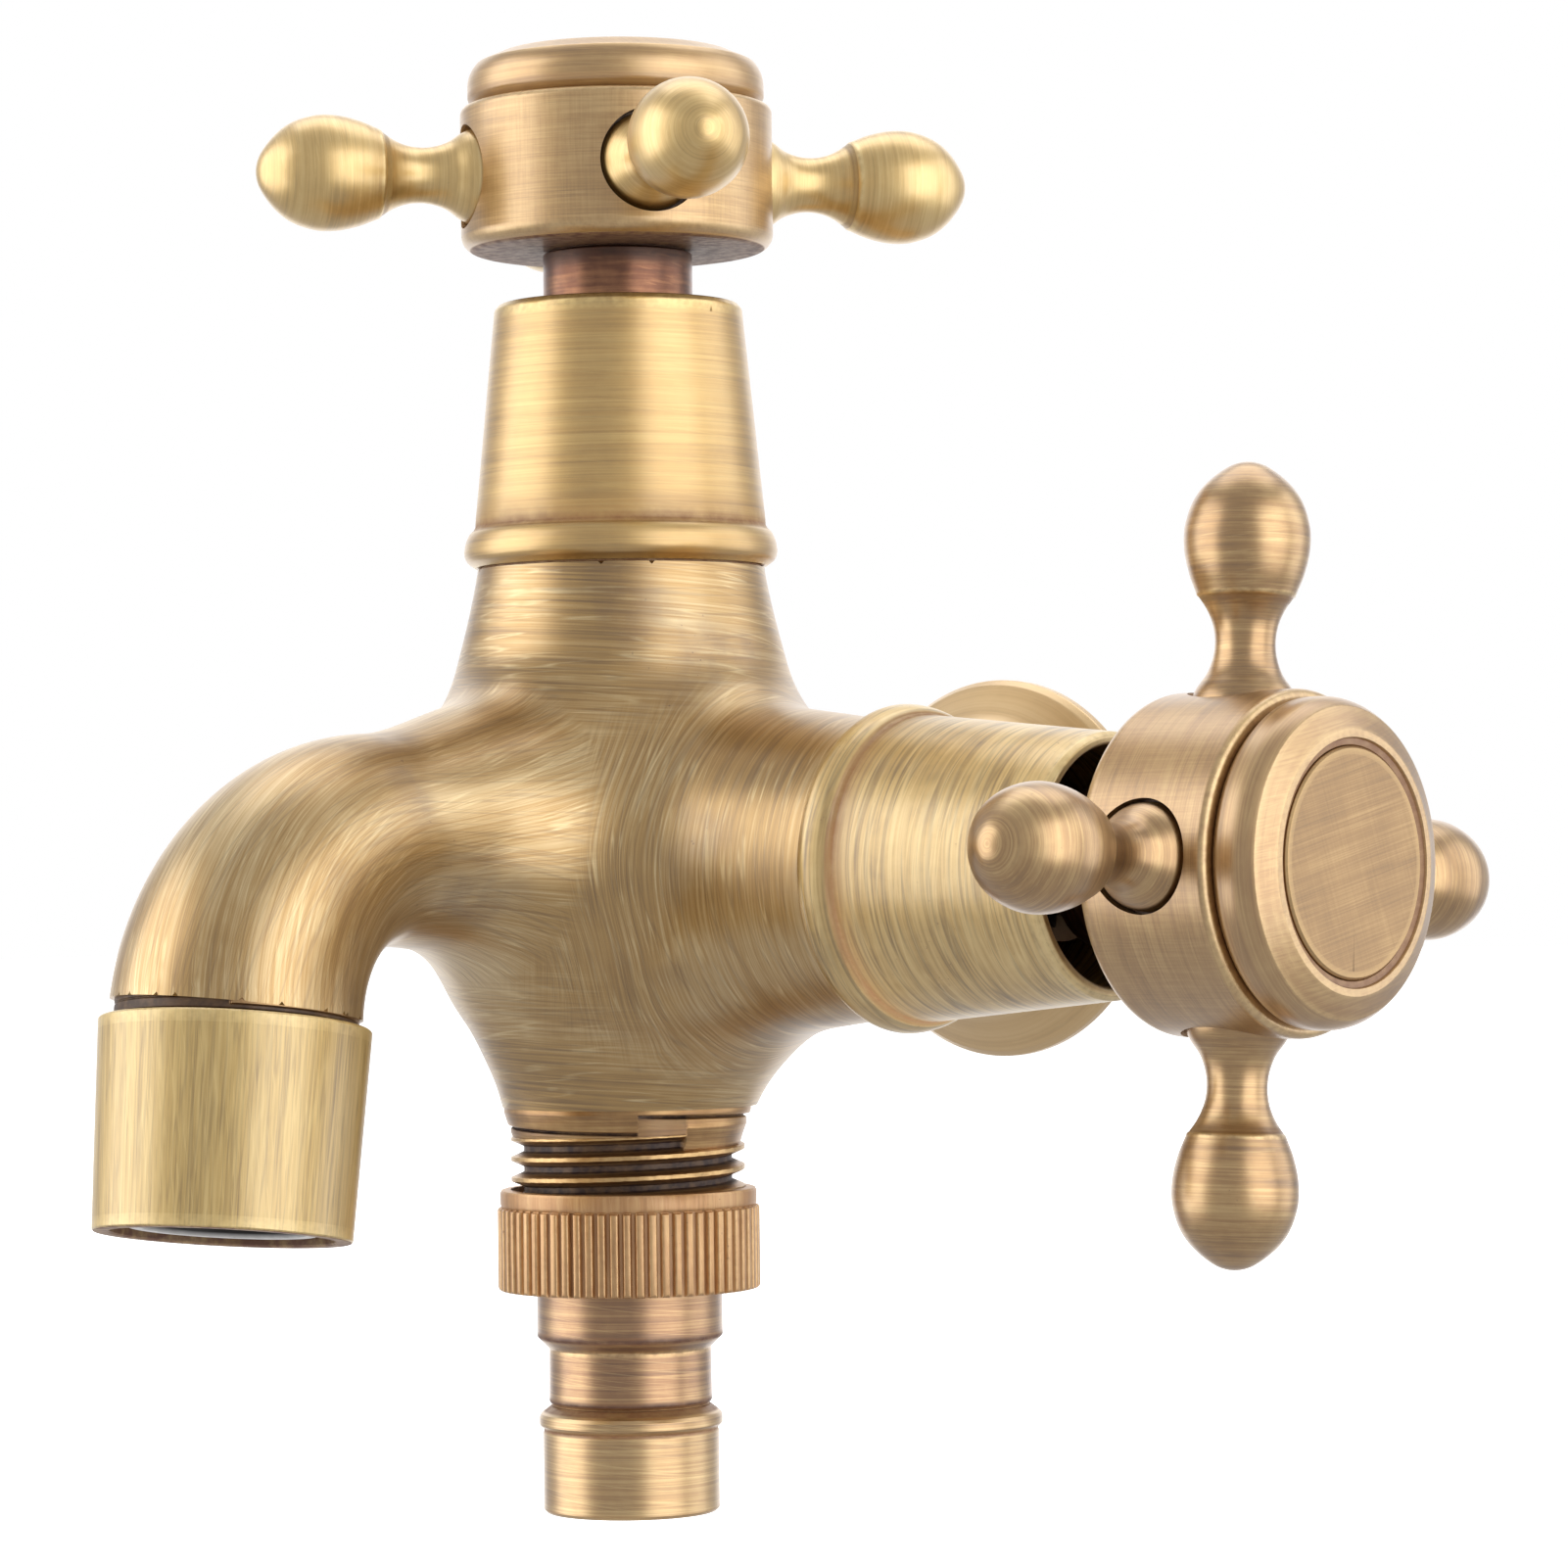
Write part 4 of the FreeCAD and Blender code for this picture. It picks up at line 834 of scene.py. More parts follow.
def spoke_outline():
    a = [tuple(p) for p in spline(SPOKE_FOOT, 44)]
    b = [tuple(p) for p in spline(SPOKE_END, 64)]
    pts = [(0, 7.6), (2.2, 7.6), (2.5, 7.9), (2.5, 11.75), (4.30, 11.75), (4.38, 11.83)] + a
    edge = [0] * 5 + [-0.6] * 4 + [0] * (len(a) - 6)
    # negative values paint shade on the spoke foot inside the hub's hole and darken the flare under the ball; the
    # ball's base gets a bright worn edge
    edge = [0, 0, 0, 0, -0.5, -0.7] + [-0.5 if z < 13.0 else (-0.5 if z > 21.2 else 0) for _, z in a]
    pts += b
    edge += [1.0 if z < 22.0 else 0.0 for _, z in b]
    pts.append((0, 32.70))
    edge.append(0)
    return pts, edge


def valve_pieces(side, axis, turn_axis, seat, stand, turn, mats):
    fixed = move(CENTRE + axis * seat) @ turn_axis
    handle = move(CENTRE + axis * (seat + stand)) @ turn_axis @ Matrix.Rotation(math.radians(turn), 4, "Z")
    body = side + "_handle"
    # bonnet: painted shade, with brown patina, in the crease above the bead; painted shade on the base face against the
    # body; the bead keeps only its bright worn edges
    put(
        lathe(
            side + "_bonnet_shell",
            [(11.05, 0), (12.55, 0, None, 0.03), (12.55, 0.2, None, 0.03), (13.1, 0.2, None, 0.06), (13.68, 0.6, 1.35, 0), (14.03, 1.875, 3.2, 0), (13.72, 2.95, 1.3, 0),
             (13.22, 3.52, None, 0.25), (13.04, 3.85, None, 0.25), (13.02, 4.4), (12.96, 5.05), (12.84, 6.2), (12.66, 8.0), (11.14, 23.27, None, 0.55), (10.74, 23.77, None, 0.35), (10.25, 23.77, None, 0.2),
             (10.05, 23.47), (10.05, 7.2), (8.56, 6.6), (8.56, 3.25), (11.05, 3.25)],
            fixed, segs=224, ease=0.08,
            paint=lambda r, z, w: np.where((r > 12.2) & (z > 3.4) & (z < 9), -np.exp(-np.abs(z - 3.8) / 1.1), np.where((z < 0.25) & (r < 12.7), -1.0, np.where((z > 0.3) & (z < 3.4), np.maximum(w, 0), w))),
        ),
        "tap_body", side + "_bonnet", mats["bonnet_" + side],
    )
    # stem sleeve: its top, under the hub, is darkened as painted shade
    put(
        lathe(
            side + "_stem_sleeve",
            [(4.02, -8.2), (6.3, -8.2), (6.7, -7.8), (6.7, -4.2), (6.7, -2.0), (6.7, -0.3, None, 0.1), (6.02, -0.12), (6.0, 3.2), (4.02, 3.2)],
            handle, segs=128, ease=0.12, paint=lambda r, z, w: np.where(z > -0.9, -0.8, 0.0),
        ),
        body, side + "_stem_bush", mats["bush"],
    )
    put(make_hub(side + "_hub", handle), body, side + "_handle_hub", mats["hub_" + side])
    # cap: painted shade on its bottom face and lower side where it meets the hub, and in the groove round the disc
    put(
        lathe(
            side + "_cap",
            [(8.4, 9.5), (10.34, 9.5), (10.34, 12.99), (12.78, 12.99, None, 0.3), (13.33, 13.72, None, 0.5), (13.33, 14.82, 2.9, 0), (12.52, 16.82, None, 0.25), (10.6, 17.68, None, 0.3),
             (10.0, 17.72, None, 0.06), (9.9, 17.45, None, 0.03), (9.42, 17.35, None, 0.05), (9.33, 17.22), (9.33, 16.12), (8.4, 16.12)],
            handle, segs=224, ease=0.05,
            paint=lambda r, z, w: np.where((r < 9.97) & (z > 16.9), -0.85, np.where(z < 13.1, -1.0, np.where(z < 14.2, np.minimum(w, 0) - 0.35, np.maximum(w, 0) * 0.5))),
        ),
        body, side + "_handle_cap", mats["cap_" + side],
    )
    put(
        lathe(side + "_disc", [(0, 16.12), (9.3, 16.12), (9.3, 17.42, None, 0.1), (9.12, 17.62, None, 0.1), (0, 17.62)], handle, segs=224, ease=0.05),
        body, side + "_cap_disc", mats["disc"],
    )
    for k in range(4):
        place = handle @ move((0, 0, 6.48)) @ Matrix.Rotation(math.radians(90 * k), 4, "Z") @ Matrix.Rotation(math.radians(90), 4, "Y")
        put(
            lathe(f"{side}_spoke_{k + 1}_turned", spoke_outline(), place, segs=96, ready=True),
            body, f"{side}_spoke_{k + 1}", mats["spoke_%s_%d" % (side, k)],
        )


def build(mats):
    skin = make_skin()
    put(skin, "tap_body", "body_casting", mats["body"])
    put(
        wall_of_turns("lower_outlet_thread", lower_thread, -32.9, -20.6, move(CENTRE), 320, 320, bore=7.0, bore_depth=9.5, worn=lower_worn),
        "tap_body", "body_casting", mats["thread"],
    )
    # inlet: local -Z runs into the wall
    inlet_at = move(CENTRE + Vector((0, 53.0, 0))) @ TO_WALL
    put(
        wall_of_turns("inlet_thread", inlet_turns, -14.514, 0.0, inlet_at, 300, 216, bore=6.2, bore_depth=30.0),
        "tap_body", "body_casting", mats["thread"],
    )
    put(
        lathe("rear_shank", [(7.0, 42.0), (10.95, 42.0), (10.95, 51.9, None, 0.3), (9.4, 52.3), (7.0, 52.3)], move(CENTRE) @ TO_BACK, segs=160),
        "tap_body", "body_casting", mats["thread"],
    )
    put(
        lathe("rear_end_band", [(10.7, 41.4), (12.1, 41.4), (12.46, 41.5, None, 0.05), (12.46, 42.85, None, 0.1), (12.3, 43.05, None, 0.05), (10.7, 43.05)], move(CENTRE) @ TO_BACK, segs=192, ease=0.05),
        "tap_body", "body_casting", mats["rear_end"],
    )
    out3 = Vector((math.sin(LEAN), -S_OUT[0] * math.cos(LEAN), S_OUT[1] * math.cos(LEAN)))
    end = CENTRE + Vector((0, -S_E[0], S_E[1]))
    q = Vector((0, 0, 1)).rotation_difference(out3).to_matrix().to_4x4()
    nose_at = move(end) @ q
    collar_at = move(end + out3 * 1.2) @ q
    put(
        wall_of_turns("spout_nose", nose_turn, -0.9, 1.3, nose_at, 80, 320, bore=6.6, bore_depth=1.6, worn=nose_worn),
        "tap_body", "body_casting", mats["nose"],
    )
    # collar: its bottom end face and the wall inside its mouth are painted dark as shade
    put(
        lathe(
            "outlet_collar",
            [(9.66, 0), (11.12, 0, None, 0.1), (11.3, 0.18, None, 0.15), (10.7, 17.45, None, 0.12), (10.55, 17.6, None, 0.1), (9.45, 17.6, None, 0.08),
             (9.3, 17.45, None, 0.08), (9.3, 13.6), (9.66, 13.6)],
            collar_at, segs=224, ease=0.06, paint=lambda r, z, w: np.where((z > 17.56) | (r < 9.6), -1.0, np.maximum(w, 0)),
        ),
        "tap_body", "spout_collar", mats["collar"],
    )
    # aerator ring: all but the front face is painted near-black as shade in the gap inside the collar, and the front
    # face is a little dimmed
    put(
        lathe(
            "aerator_cup",
            [(7.3, 9.8), (9.6, 9.8), (9.6, 13.4), (8.15, 14.2), (8.15, 16.7), (7.95, 17.02), (7.75, 17.1), (6.9, 17.1), (6.7, 16.7), (6.7, 15.4), (7.3, 15.4)],
            collar_at, segs=160, ease=0.05, paint=lambda r, z, w: np.where((z > 17.0) & (r < 7.8), -0.25, -1.0),
        ),
        "tap_body", "aerator_housing", mats["plastic"],
    )
    fl = move((0, 0, 0)) @ TO_WALL
    put(
        lathe(
            "wall_rosette",
            [(11.0, 0), (17.9, 0), (18.4, 0.5, None, 0.3), (18.4, 1.4, None, 0.5), (17.9, 2.1, None, 0.8), (16.6, 3.0, None, 2.0), (15.2, 4.0, None, 2.0),
             (14.0, 5.4, None, 2.0), (13.3, 7.2, None, 2.0), (13.2, 9.2, None, 0.3), (12.6, 9.8, None, 0.2), (11.0, 9.8)],
            fl, segs=224, ease=0.08, paint=lambda r, z, w: w * 0.0,
        ),
        "tap_body", "wall_flange", mats["flange"],
    )
    put(make_nut(), "union_nut", "hose_nut", mats["nut"])
    put(
        lathe(
            "hose_tail_upper",
            [(5.2, -34.65), (9.88, -34.65), (9.88, -36.1), (8.3, -36.1), (8.3, -41.45, None, 0.3), (7.24, -42.5, None, 0.25), (7.29, -47.2, None, 0.2),
             (7.09, -47.5, None, 0.1), (7.05, -47.62, None, 0.03), (5.2, -47.62)],
            move(CENTRE), segs=192, ease=0.08,
        ),
        "nozzle", "hose_nozzle", mats["nozzle_upper"],
    )
    # lower tail: painted shade in the crease under the upper tail and in the groove; a little darker at the bottom end
    put(
        lathe(
            "hose_tail_lower",
            [(5.2, -47.62), (7.05, -47.62, None, 0.03), (7.2, -47.66, None, 0.1), (8.05, -48.3, None, 0.12), (8.2, -48.6, None, 0.2), (8.2, -49.3, None, 0.2), (7.77, -49.7, None, 0.1),
             (7.87, -50.05, None, 0.1), (7.87, -56.85, None, 0.2), (7.62, -57.1, None, 0.1), (6.1, -57.1), (5.2, -56.2)],
            move(CENTRE), segs=192, ease=0.08,
            paint=lambda r, z, w: np.where((z > -48.1) | ((z < -49.6) & (z > -50.0)), -0.9, np.where(z < -56.6, -0.2, np.maximum(w, 0) * 0.6)),
        ),
        "nozzle", "hose_nozzle", mats["nozzle_lower"],
    )
    X3, Z3 = Vector((1, 0, 0)), Vector((0, 0, 1))
    valve_pieces("upper", Z3, Matrix.Identity(4), 27.2, 28.6, 56.55, mats)
    valve_pieces("side", X3, TO_X, 31.85, 29.8, -3.15, mats)


# ------------------------------------------------------------------ materials
class Graph:
    """A short way to write a shader node tree."""

    def __init__(self, name):
        self.mat = bpy.data.materials.new(name)
        self.mat.use_nodes = True
        self.t = self.mat.node_tree
        self.t.nodes.clear()
        self.out = self.t.nodes.new("ShaderNodeOutputMaterial")
        self.bsdf = self.t.nodes.new("ShaderNodeBsdfPrincipled")
        self.t.links.new(self.bsdf.outputs[0], self.out.inputs["Surface"])

    def put(self, socket, value):
        if isinstance(value, (int, float)):
            socket.default_value = value
        elif isinstance(value, (tuple, list, Vector)):
            n = len(socket.default_value)
            v = list(value) + [1.0] * (n - len(value))
            socket.default_value = v[:n]
        else:
            self.t.links.new(value, socket)

    def math(self, op, a, b=0.0, c=None, clamp=False):
        n = self.t.nodes.new("ShaderNodeMath")
        n.operation = op
        n.use_clamp = clamp
        self.put(n.inputs[0], a)
        self.put(n.inputs[1], b)
        if c is not None:
            self.put(n.inputs[2], c)
        return n.outputs[0]

    def add(self, a, b):
        return self.math("ADD", a, b)

    def sub(self, a, b):
        return self.math("SUBTRACT", a, b)

    def mul(self, a, b):
        return self.math("MULTIPLY", a, b)

    def vmath(self, op, a, b=None, scale=None):
        n = self.t.nodes.new("ShaderNodeVectorMath")
        n.operation = op
        self.put(n.inputs[0], a)
        if b is not None:
            self.put(n.inputs[1], b)
        if scale is not None:
            self.put(n.inputs["Scale"], scale)
        return n.outputs["Value"] if op in ("LENGTH", "DOT_PRODUCT", "DISTANCE") else n.outputs["Vector"]

    def sep(self, v):
        n = self.t.nodes.new("ShaderNodeSeparateXYZ")
        self.put(n.inputs[0], v)
        return n.outputs[0], n.outputs[1], n.outputs[2]

    def vec(self, x, y, z):
        n = self.t.nodes.new("ShaderNodeCombineXYZ")
        for s, v in zip(n.inputs, (x, y, z)):
            self.put(s, v)
        return n.outputs[0]

    def attr(self, name, vector=False):
        n = self.t.nodes.new("ShaderNodeAttribute")
        n.attribute_type = "GEOMETRY"
        n.attribute_name = name
        return n.outputs["Vector"] if vector else n.outputs["Fac"]

    def noise(self, vec, scale=1.0, detail=2.0, rough=0.5, w=None, distort=0.0):
        n = self.t.nodes.new("ShaderNodeTexNoise")
        n.noise_dimensions = "4D" if w is not None else "3D"
        self.put(n.inputs["Vector"], vec)
        if w is not None:
            self.put(n.inputs["W"], w)
        n.inputs["Scale"].default_value = scale
        n.inputs["Detail"].default_value = detail
        n.inputs["Roughness"].default_value = rough
        n.inputs["Distortion"].default_value = distort
        return n.outputs["Fac"]

    def span(self, v, a, b, lo=0.0, hi=1.0, smooth=False):
        n = self.t.nodes.new("ShaderNodeMapRange")
        n.interpolation_type = "SMOOTHSTEP" if smooth else "LINEAR"
        n.clamp = True
        self.put(n.inputs["Value"], v)
        n.inputs["From Min"].default_value = a
        n.inputs["From Max"].default_value = b
        n.inputs["To Min"].default_value = lo
        n.inputs["To Max"].default_value = hi
        return n.outputs["Result"]

    def mix(self, f, a, b, mode="MIX"):
        n = self.t.nodes.new("ShaderNodeMix")
        n.data_type = "RGBA"
        n.blend_type = mode
        self.put(n.inputs["Factor"], f)
        self.put(n.inputs["A"], a)
        self.put(n.inputs["B"], b)
        return n.outputs["Result"]

    def ramp(self, f, stops):
        n = self.t.nodes.new("ShaderNodeValToRGB")
        self.put(n.inputs[0], f)
        e = n.color_ramp.elements
        e[0].position, e[0].color = stops[0][0], (*stops[0][1], 1)
        e[1].position, e[1].color = stops[-1][0], (*stops[-1][1], 1)
        for p, c in stops[1:-1]:
            x = e.new(p)
            x.color = (*c, 1)
        return n.outputs["Color"]

    def bump(self, height, strength=0.5, distance=0.00002, normal=None):
        n = self.t.nodes.new("ShaderNodeBump")
        n.inputs["Strength"].default_value = strength
        n.inputs["Distance"].default_value = distance
        self.put(n.inputs["Height"], height)
        if normal is not None:
            self.put(n.inputs["Normal"], normal)
        return n.outputs["Normal"]

    def done(self, color, rough, normal=None, metallic=1.0, coat=0.0, coat_rough=0.3, ior=1.5, coat_ior=2.0):
        b = self.bsdf
        self.put(b.inputs["Base Color"], color)
        self.put(b.inputs["Roughness"], rough)
        self.put(b.inputs["Metallic"], metallic)
        b.inputs["IOR"].default_value = ior
        self.put(b.inputs["Coat Weight"], coat)
        b.inputs["Coat Roughness"].default_value = coat_rough
        b.inputs["Coat IOR"].default_value = coat_ior
        if normal is not None:
            self.put(b.inputs["Normal"], normal)
        return self.mat


def lin(r, g, b):
    """Display colour, 0 to 255, as a linear one."""
    f = lambda c: c / 12.92 if c <= 0.04045 else ((c + 0.055) / 1.055) ** 2.4
    return (f(r / 255), f(g / 255), f(b / 255))


def round_strokes(g, p, long, fine, seed=0.0, tilt=(0.0, 0.0), detail=2.0, rough=0.55):
    """Strokes that run round local Z: long along the circle, fine across it. p is in mm."""
    x, y, z = g.sep(p)
    r = g.math("SQRT", g.add(g.mul(x, x), g.mul(y, y)))
    zt = z
    if tilt[0] or tilt[1]:
        zt = g.add(z, g.add(g.mul(x, tilt[0]), g.mul(y, tilt[1])))
    v = g.vec(g.mul(x, 1 / long), g.mul(y, 1 / long), g.mul(zt, 1 / fine))
    return g.noise(v, 1.0, detail, rough, w=g.add(g.mul(r, 1 / fine), seed))


def long_strokes(g, p, long, fine, seed=0.0, twist=0.0, detail=2.0, rough=0.55):
    """Strokes that run along local Z, or wind round it with `twist` radians a millimetre."""
    x, y, z = g.sep(p)
    if twist:
        a = g.mul(z, twist)
        c, s = g.math("COSINE", a), g.math("SINE", a)
        x, y = g.sub(g.mul(x, c), g.mul(y, s)), g.add(g.mul(x, s), g.mul(y, c))
    v = g.vec(g.mul(x, 1 / fine), g.mul(y, 1 / fine), g.mul(z, 1 / long))
    return g.noise(v, 1.0, detail, rough, w=seed + 0.001)


def lines(g, n, at=0.60, width=0.06):
    return g.span(n, at, at + width, smooth=True)


def hair(g, n, width=0.045, at=0.5):
    """Thin lines where a noise crosses a level."""
    return g.span(g.math("ABSOLUTE", g.sub(n, at)), 0.0, width, 1.0, 0.0)


def centred(g, n, gain):
    return g.mul(g.sub(n, 0.5), gain)


def brass(name, dark, mid, light, patina_and_shade_colour, strokes="round", rough=0.40, tone=0.8, coat=0.9, long=16.0, fine=0.22, marks=0.35, blotch=1.0, pits=0.0,
          bump=1.0, seed=0.0, wear_gain=1.0, cross=0.0, rings=0.0, face=None):
    g = Graph(name)
    p = g.attr("loc", True)
    wear_and_shade = g.attr("wear_and_shade")
    if strokes == "round":
        f1 = round_strokes(g, p, long, fine, seed)
        f2 = round_strokes(g, p, long * 1.6, fine * 4.2, seed + 3.1, detail=1.0)
        s1 = round_strokes(g, p, long * 0.5, fine * 0.8, seed + 7.7, tilt=(0.10, 0.06), detail=1.0)
    else:
        f1 = long_strokes(g, p, long, fine, seed)
        f2 = long_strokes(g, p, long * 1.8, fine * 3.6, seed + 3.1, detail=1.0)
        s1 = long_strokes(g, p, long * 0.6, fine * 0.8, seed + 7.7, twist=0.012, detail=1.0)
    if face is not None:
        # the flat top is rubbed one way
        x, y, z = g.sep(p)
        a = math.radians(105)
        xr = g.add(g.mul(x, math.cos(a)), g.mul(y, math.sin(a)))
        yr = g.sub(g.mul(y, math.cos(a)), g.mul(x, math.sin(a)))
        flat = g.noise(g.vec(g.mul(xr, 1 / 9.0), g.mul(yr, 1 / 0.16), z), 1.0, 2.0, 0.6, w=seed + 5.0)
        top = g.span(z, face, face + 0.15)
        f1 = g.add(g.mul(f1, g.sub(1.0, top)), g.mul(flat, top))
    cloud = g.noise(p, 0.16, 3.0, 0.55, w=seed + 1.0)
    mott = g.noise(p, 0.9, 3.0, 0.6, w=seed + 2.0)
    t = g.add(0.5, g.mul(g.add(g.add(centred(g, f1, 0.95), centred(g, f2, 0.65)), g.add(centred(g, cloud, 1.1 * blotch), centred(g, mott, 0.35 * blotch))), tone))
    if cross:
        x1 = long_strokes(g, p, long * 0.5, fine * 1.2, seed + 11.0)
        t = g.add(t, centred(g, x1, cross))
    col = g.ramp(t, [(0.0, dark), (0.46, mid), (1.0, light)])
    # scattered brighter strokes, then fine dark ones
    col = g.mix(g.mul(lines(g, s1, 0.60, 0.07), marks), col, light)
    s2 = (round_strokes if strokes == "round" else long_strokes)(g, p, long * 0.8, fine * 0.9, seed + 13.0, detail=1.0)
    col = g.mix(g.mul(lines(g, s2, 0.64, 0.07), marks * 0.9), col, dark)
    if rings:
        way = round_strokes if strokes == "round" else long_strokes
        k1 = hair(g, way(g, p, long * 1.3, fine * 3.4, seed + 31.0, detail=1.0))
        k2 = hair(g, way(g, p, long * 1.1, fine * 4.6, seed + 37.0, detail=1.0), at=0.47)
        col = g.mix(g.mul(k1, rings), col, dark)
        col = g.mix(g.mul(k2, rings * 0.8), col, light)
    # brown patina and painted shade where the value is negative (corners, undersides, recesses, seams), bright metal on
    # rubbed outer edges
    patina_and_shade_mask = g.mul(g.math("MAXIMUM", g.mul(wear_and_shade, -1.0), 0.0), g.span(mott, 0.25, 0.6, 0.65, 1.0))
    col = g.mix(g.math("MINIMUM", patina_and_shade_mask, 1.0), col, patina_and_shade_colour)
    edge = g.mul(g.math("MAXIMUM", wear_and_shade, 0.0), g.span(g.noise(p, 1.7, 2.0, 0.5, w=seed + 4.0), 0.30, 0.62, 0.25, 1.0))
    col = g.mix(g.mul(g.math("MINIMUM", edge, 1.0), 0.75 * wear_gain), col, light)
    h = g.add(g.mul(f1, 1.0), g.mul(f2, 0.6))
    r = g.add(rough, g.add(centred(g, f1, 0.16), g.add(centred(g, cloud, 0.12), g.mul(patina_and_shade_mask, 0.22))))
    if pits:
        spot = g.noise(p, 2.6, 2.0, 0.6, w=seed + 21.0)
        area = g.span(g.noise(p, 0.20, 2.0, 0.5, w=seed + 23.0), 0.46, 0.62, 0.0, 1.0, smooth=True)
        pit = g.mul(g.span(spot, 0.66, 0.74, smooth=True), area)
        col = g.mix(g.mul(pit, 0.75 * pits), col, patina_and_shade_colour)
        r = g.add(r, g.mul(pit, 0.2))
        h = g.sub(h, g.mul(pit, 1.5 * pits))
    n = g.bump(h, 0.55 * bump, 0.00001)
    # the painted shade also dulls the coat and the metal there
    shine = g.mul(g.sub(1.0, g.mul(g.math("MINIMUM", patina_and_shade_mask, 1.0), 0.85)), coat)
    metal = g.sub(1.0, g.mul(g.math("MINIMUM", patina_and_shade_mask, 1.0), 0.75))
    return g.done(col, r, n, metallic=metal, coat=shine, coat_rough=0.32)


def body_material():
    g = Graph("body_brass_brushed")
    p = g.attr("loc", True)
    share = g.attr("share", True)
    u = g.attr("unrolled", True)
    wz, wx, ws = g.sep(share)
    x, y, z = g.sep(p)
    px = g.attr("branch", True)  # the side branch: across its strokes is the third part
    dark, mid, light = lin(90, 61, 24), lin(175, 136, 66), lin(222, 198, 148)
    brown = lin(92, 58, 30)

    def blend(a, b, c):
        tot = g.add(g.mul(a, wz), g.add(g.mul(b, wx), g.mul(c, ws)))
        rest = g.sub(1.0, g.add(wz, g.add(wx, ws)))
        return g.add(tot, g.mul(a, rest))

    def across(q, long, fine, seed, tilt=(0.0, 0.0), detail=2.0):
        """Strokes along the first two parts of q and fine across the third."""
        a, b, c = g.sep(q)
        c = g.add(c, g.add(g.mul(a, tilt[0]), g.mul(b, tilt[1])))
        return g.noise(g.vec(g.mul(a, 1 / long), g.mul(b, 1 / long), g.mul(c, 1 / fine)), 1.0, detail, 0.55, w=seed)

    fine = blend(
        across(p, 15.0, 0.16, 0.3, tilt=(0.04, 0.06)),
        across(px, 13.0, 0.18, 1.7, tilt=(0.05, -0.04)),
        long_strokes(g, u, 20.0, 0.15, 2.4, twist=0.010),
    )
    band = blend(
        across(p, 20.0, 0.55, 5.3, tilt=(0.04, 0.06), detail=1.0),
        across(px, 18.0, 0.7, 6.7, tilt=(0.05, -0.04), detail=1.0),
        long_strokes(g, u, 30.0, 0.7, 7.4, twist=0.010, detail=1.0),
    )
    cut = blend(
        hair(g, across(p, 16.0, 0.85, 9.3, tilt=(-0.05, 0.12), detail=1.0), 0.035),
        hair(g, across(px, 16.0, 0.85, 10.7, tilt=(0.08, 0.05), detail=1.0), 0.035),
        hair(g, long_strokes(g, u, 20.0, 0.75, 11.4, twist=0.020, detail=1.0), 0.04),
    )
    cut2 = blend(
        hair(g, across(p, 20.0, 0.70, 13.3, tilt=(0.08, -0.04), detail=1.0), 0.035, 0.46),
        hair(g, across(px, 20.0, 0.70, 14.7, tilt=(-0.07, 0.06), detail=1.0), 0.035, 0.46),
        hair(g, long_strokes(g, u, 24.0, 0.6, 15.4, twist=-0.012, detail=1.0), 0.04, 0.46),
    )
    some = g.span(g.noise(p, 0.30, 2.0, 0.5, w=41.0), 0.42, 0.64, 0.12, 1.0)
    cloud = g.noise(p, 0.075, 3.0, 0.5, w=1.3)
    mott = g.noise(p, 0.5, 3.0, 0.6, w=2.3)
    t = g.add(g.add(0.5, g.mul(ws, 0.10)), g.add(g.add(centred(g, fine, 0.95), centred(g, band, 0.36)), g.add(centred(g, cloud, 0.9), centred(g, mott, 0.12))))
    col = g.ramp(t, [(0.0, dark), (0.48, mid), (1.0, light)])
    col = g.mix(g.mul(g.mul(cut, some), 0.50), col, lin(242, 220, 166))
    col = g.mix(g.mul(cut2, 0.30), col, dark)
    # darker film with fine specks, here and there
    film = g.mul(g.span(g.noise(p, 0.085, 2.0, 0.5, w=31.0), 0.50, 0.66, smooth=True), g.span(mott, 0.3, 0.65, 0.3, 1.0))
    col = g.mix(g.mul(film, 0.42), col, brown)
    speck = g.mul(g.span(g.noise(p, 2.2, 2.0, 0.6, w=33.0), 0.69, 0.75, smooth=True), g.span(film, 0.1, 0.6, 0.12, 1.0))
    col = g.mix(g.mul(speck, 0.7), col, brown)
    r = g.add(0.41, g.add(centred(g, fine, 0.14), g.add(centred(g, cloud, 0.15), g.mul(film, 0.05))))
    h = g.add(g.add(fine, g.mul(band, 0.8)), g.mul(cut, -0.4))
    n = g.bump(h, 0.42, 0.00001)
    return g.done(col, r, n, coat=0.8, coat_rough=0.34)


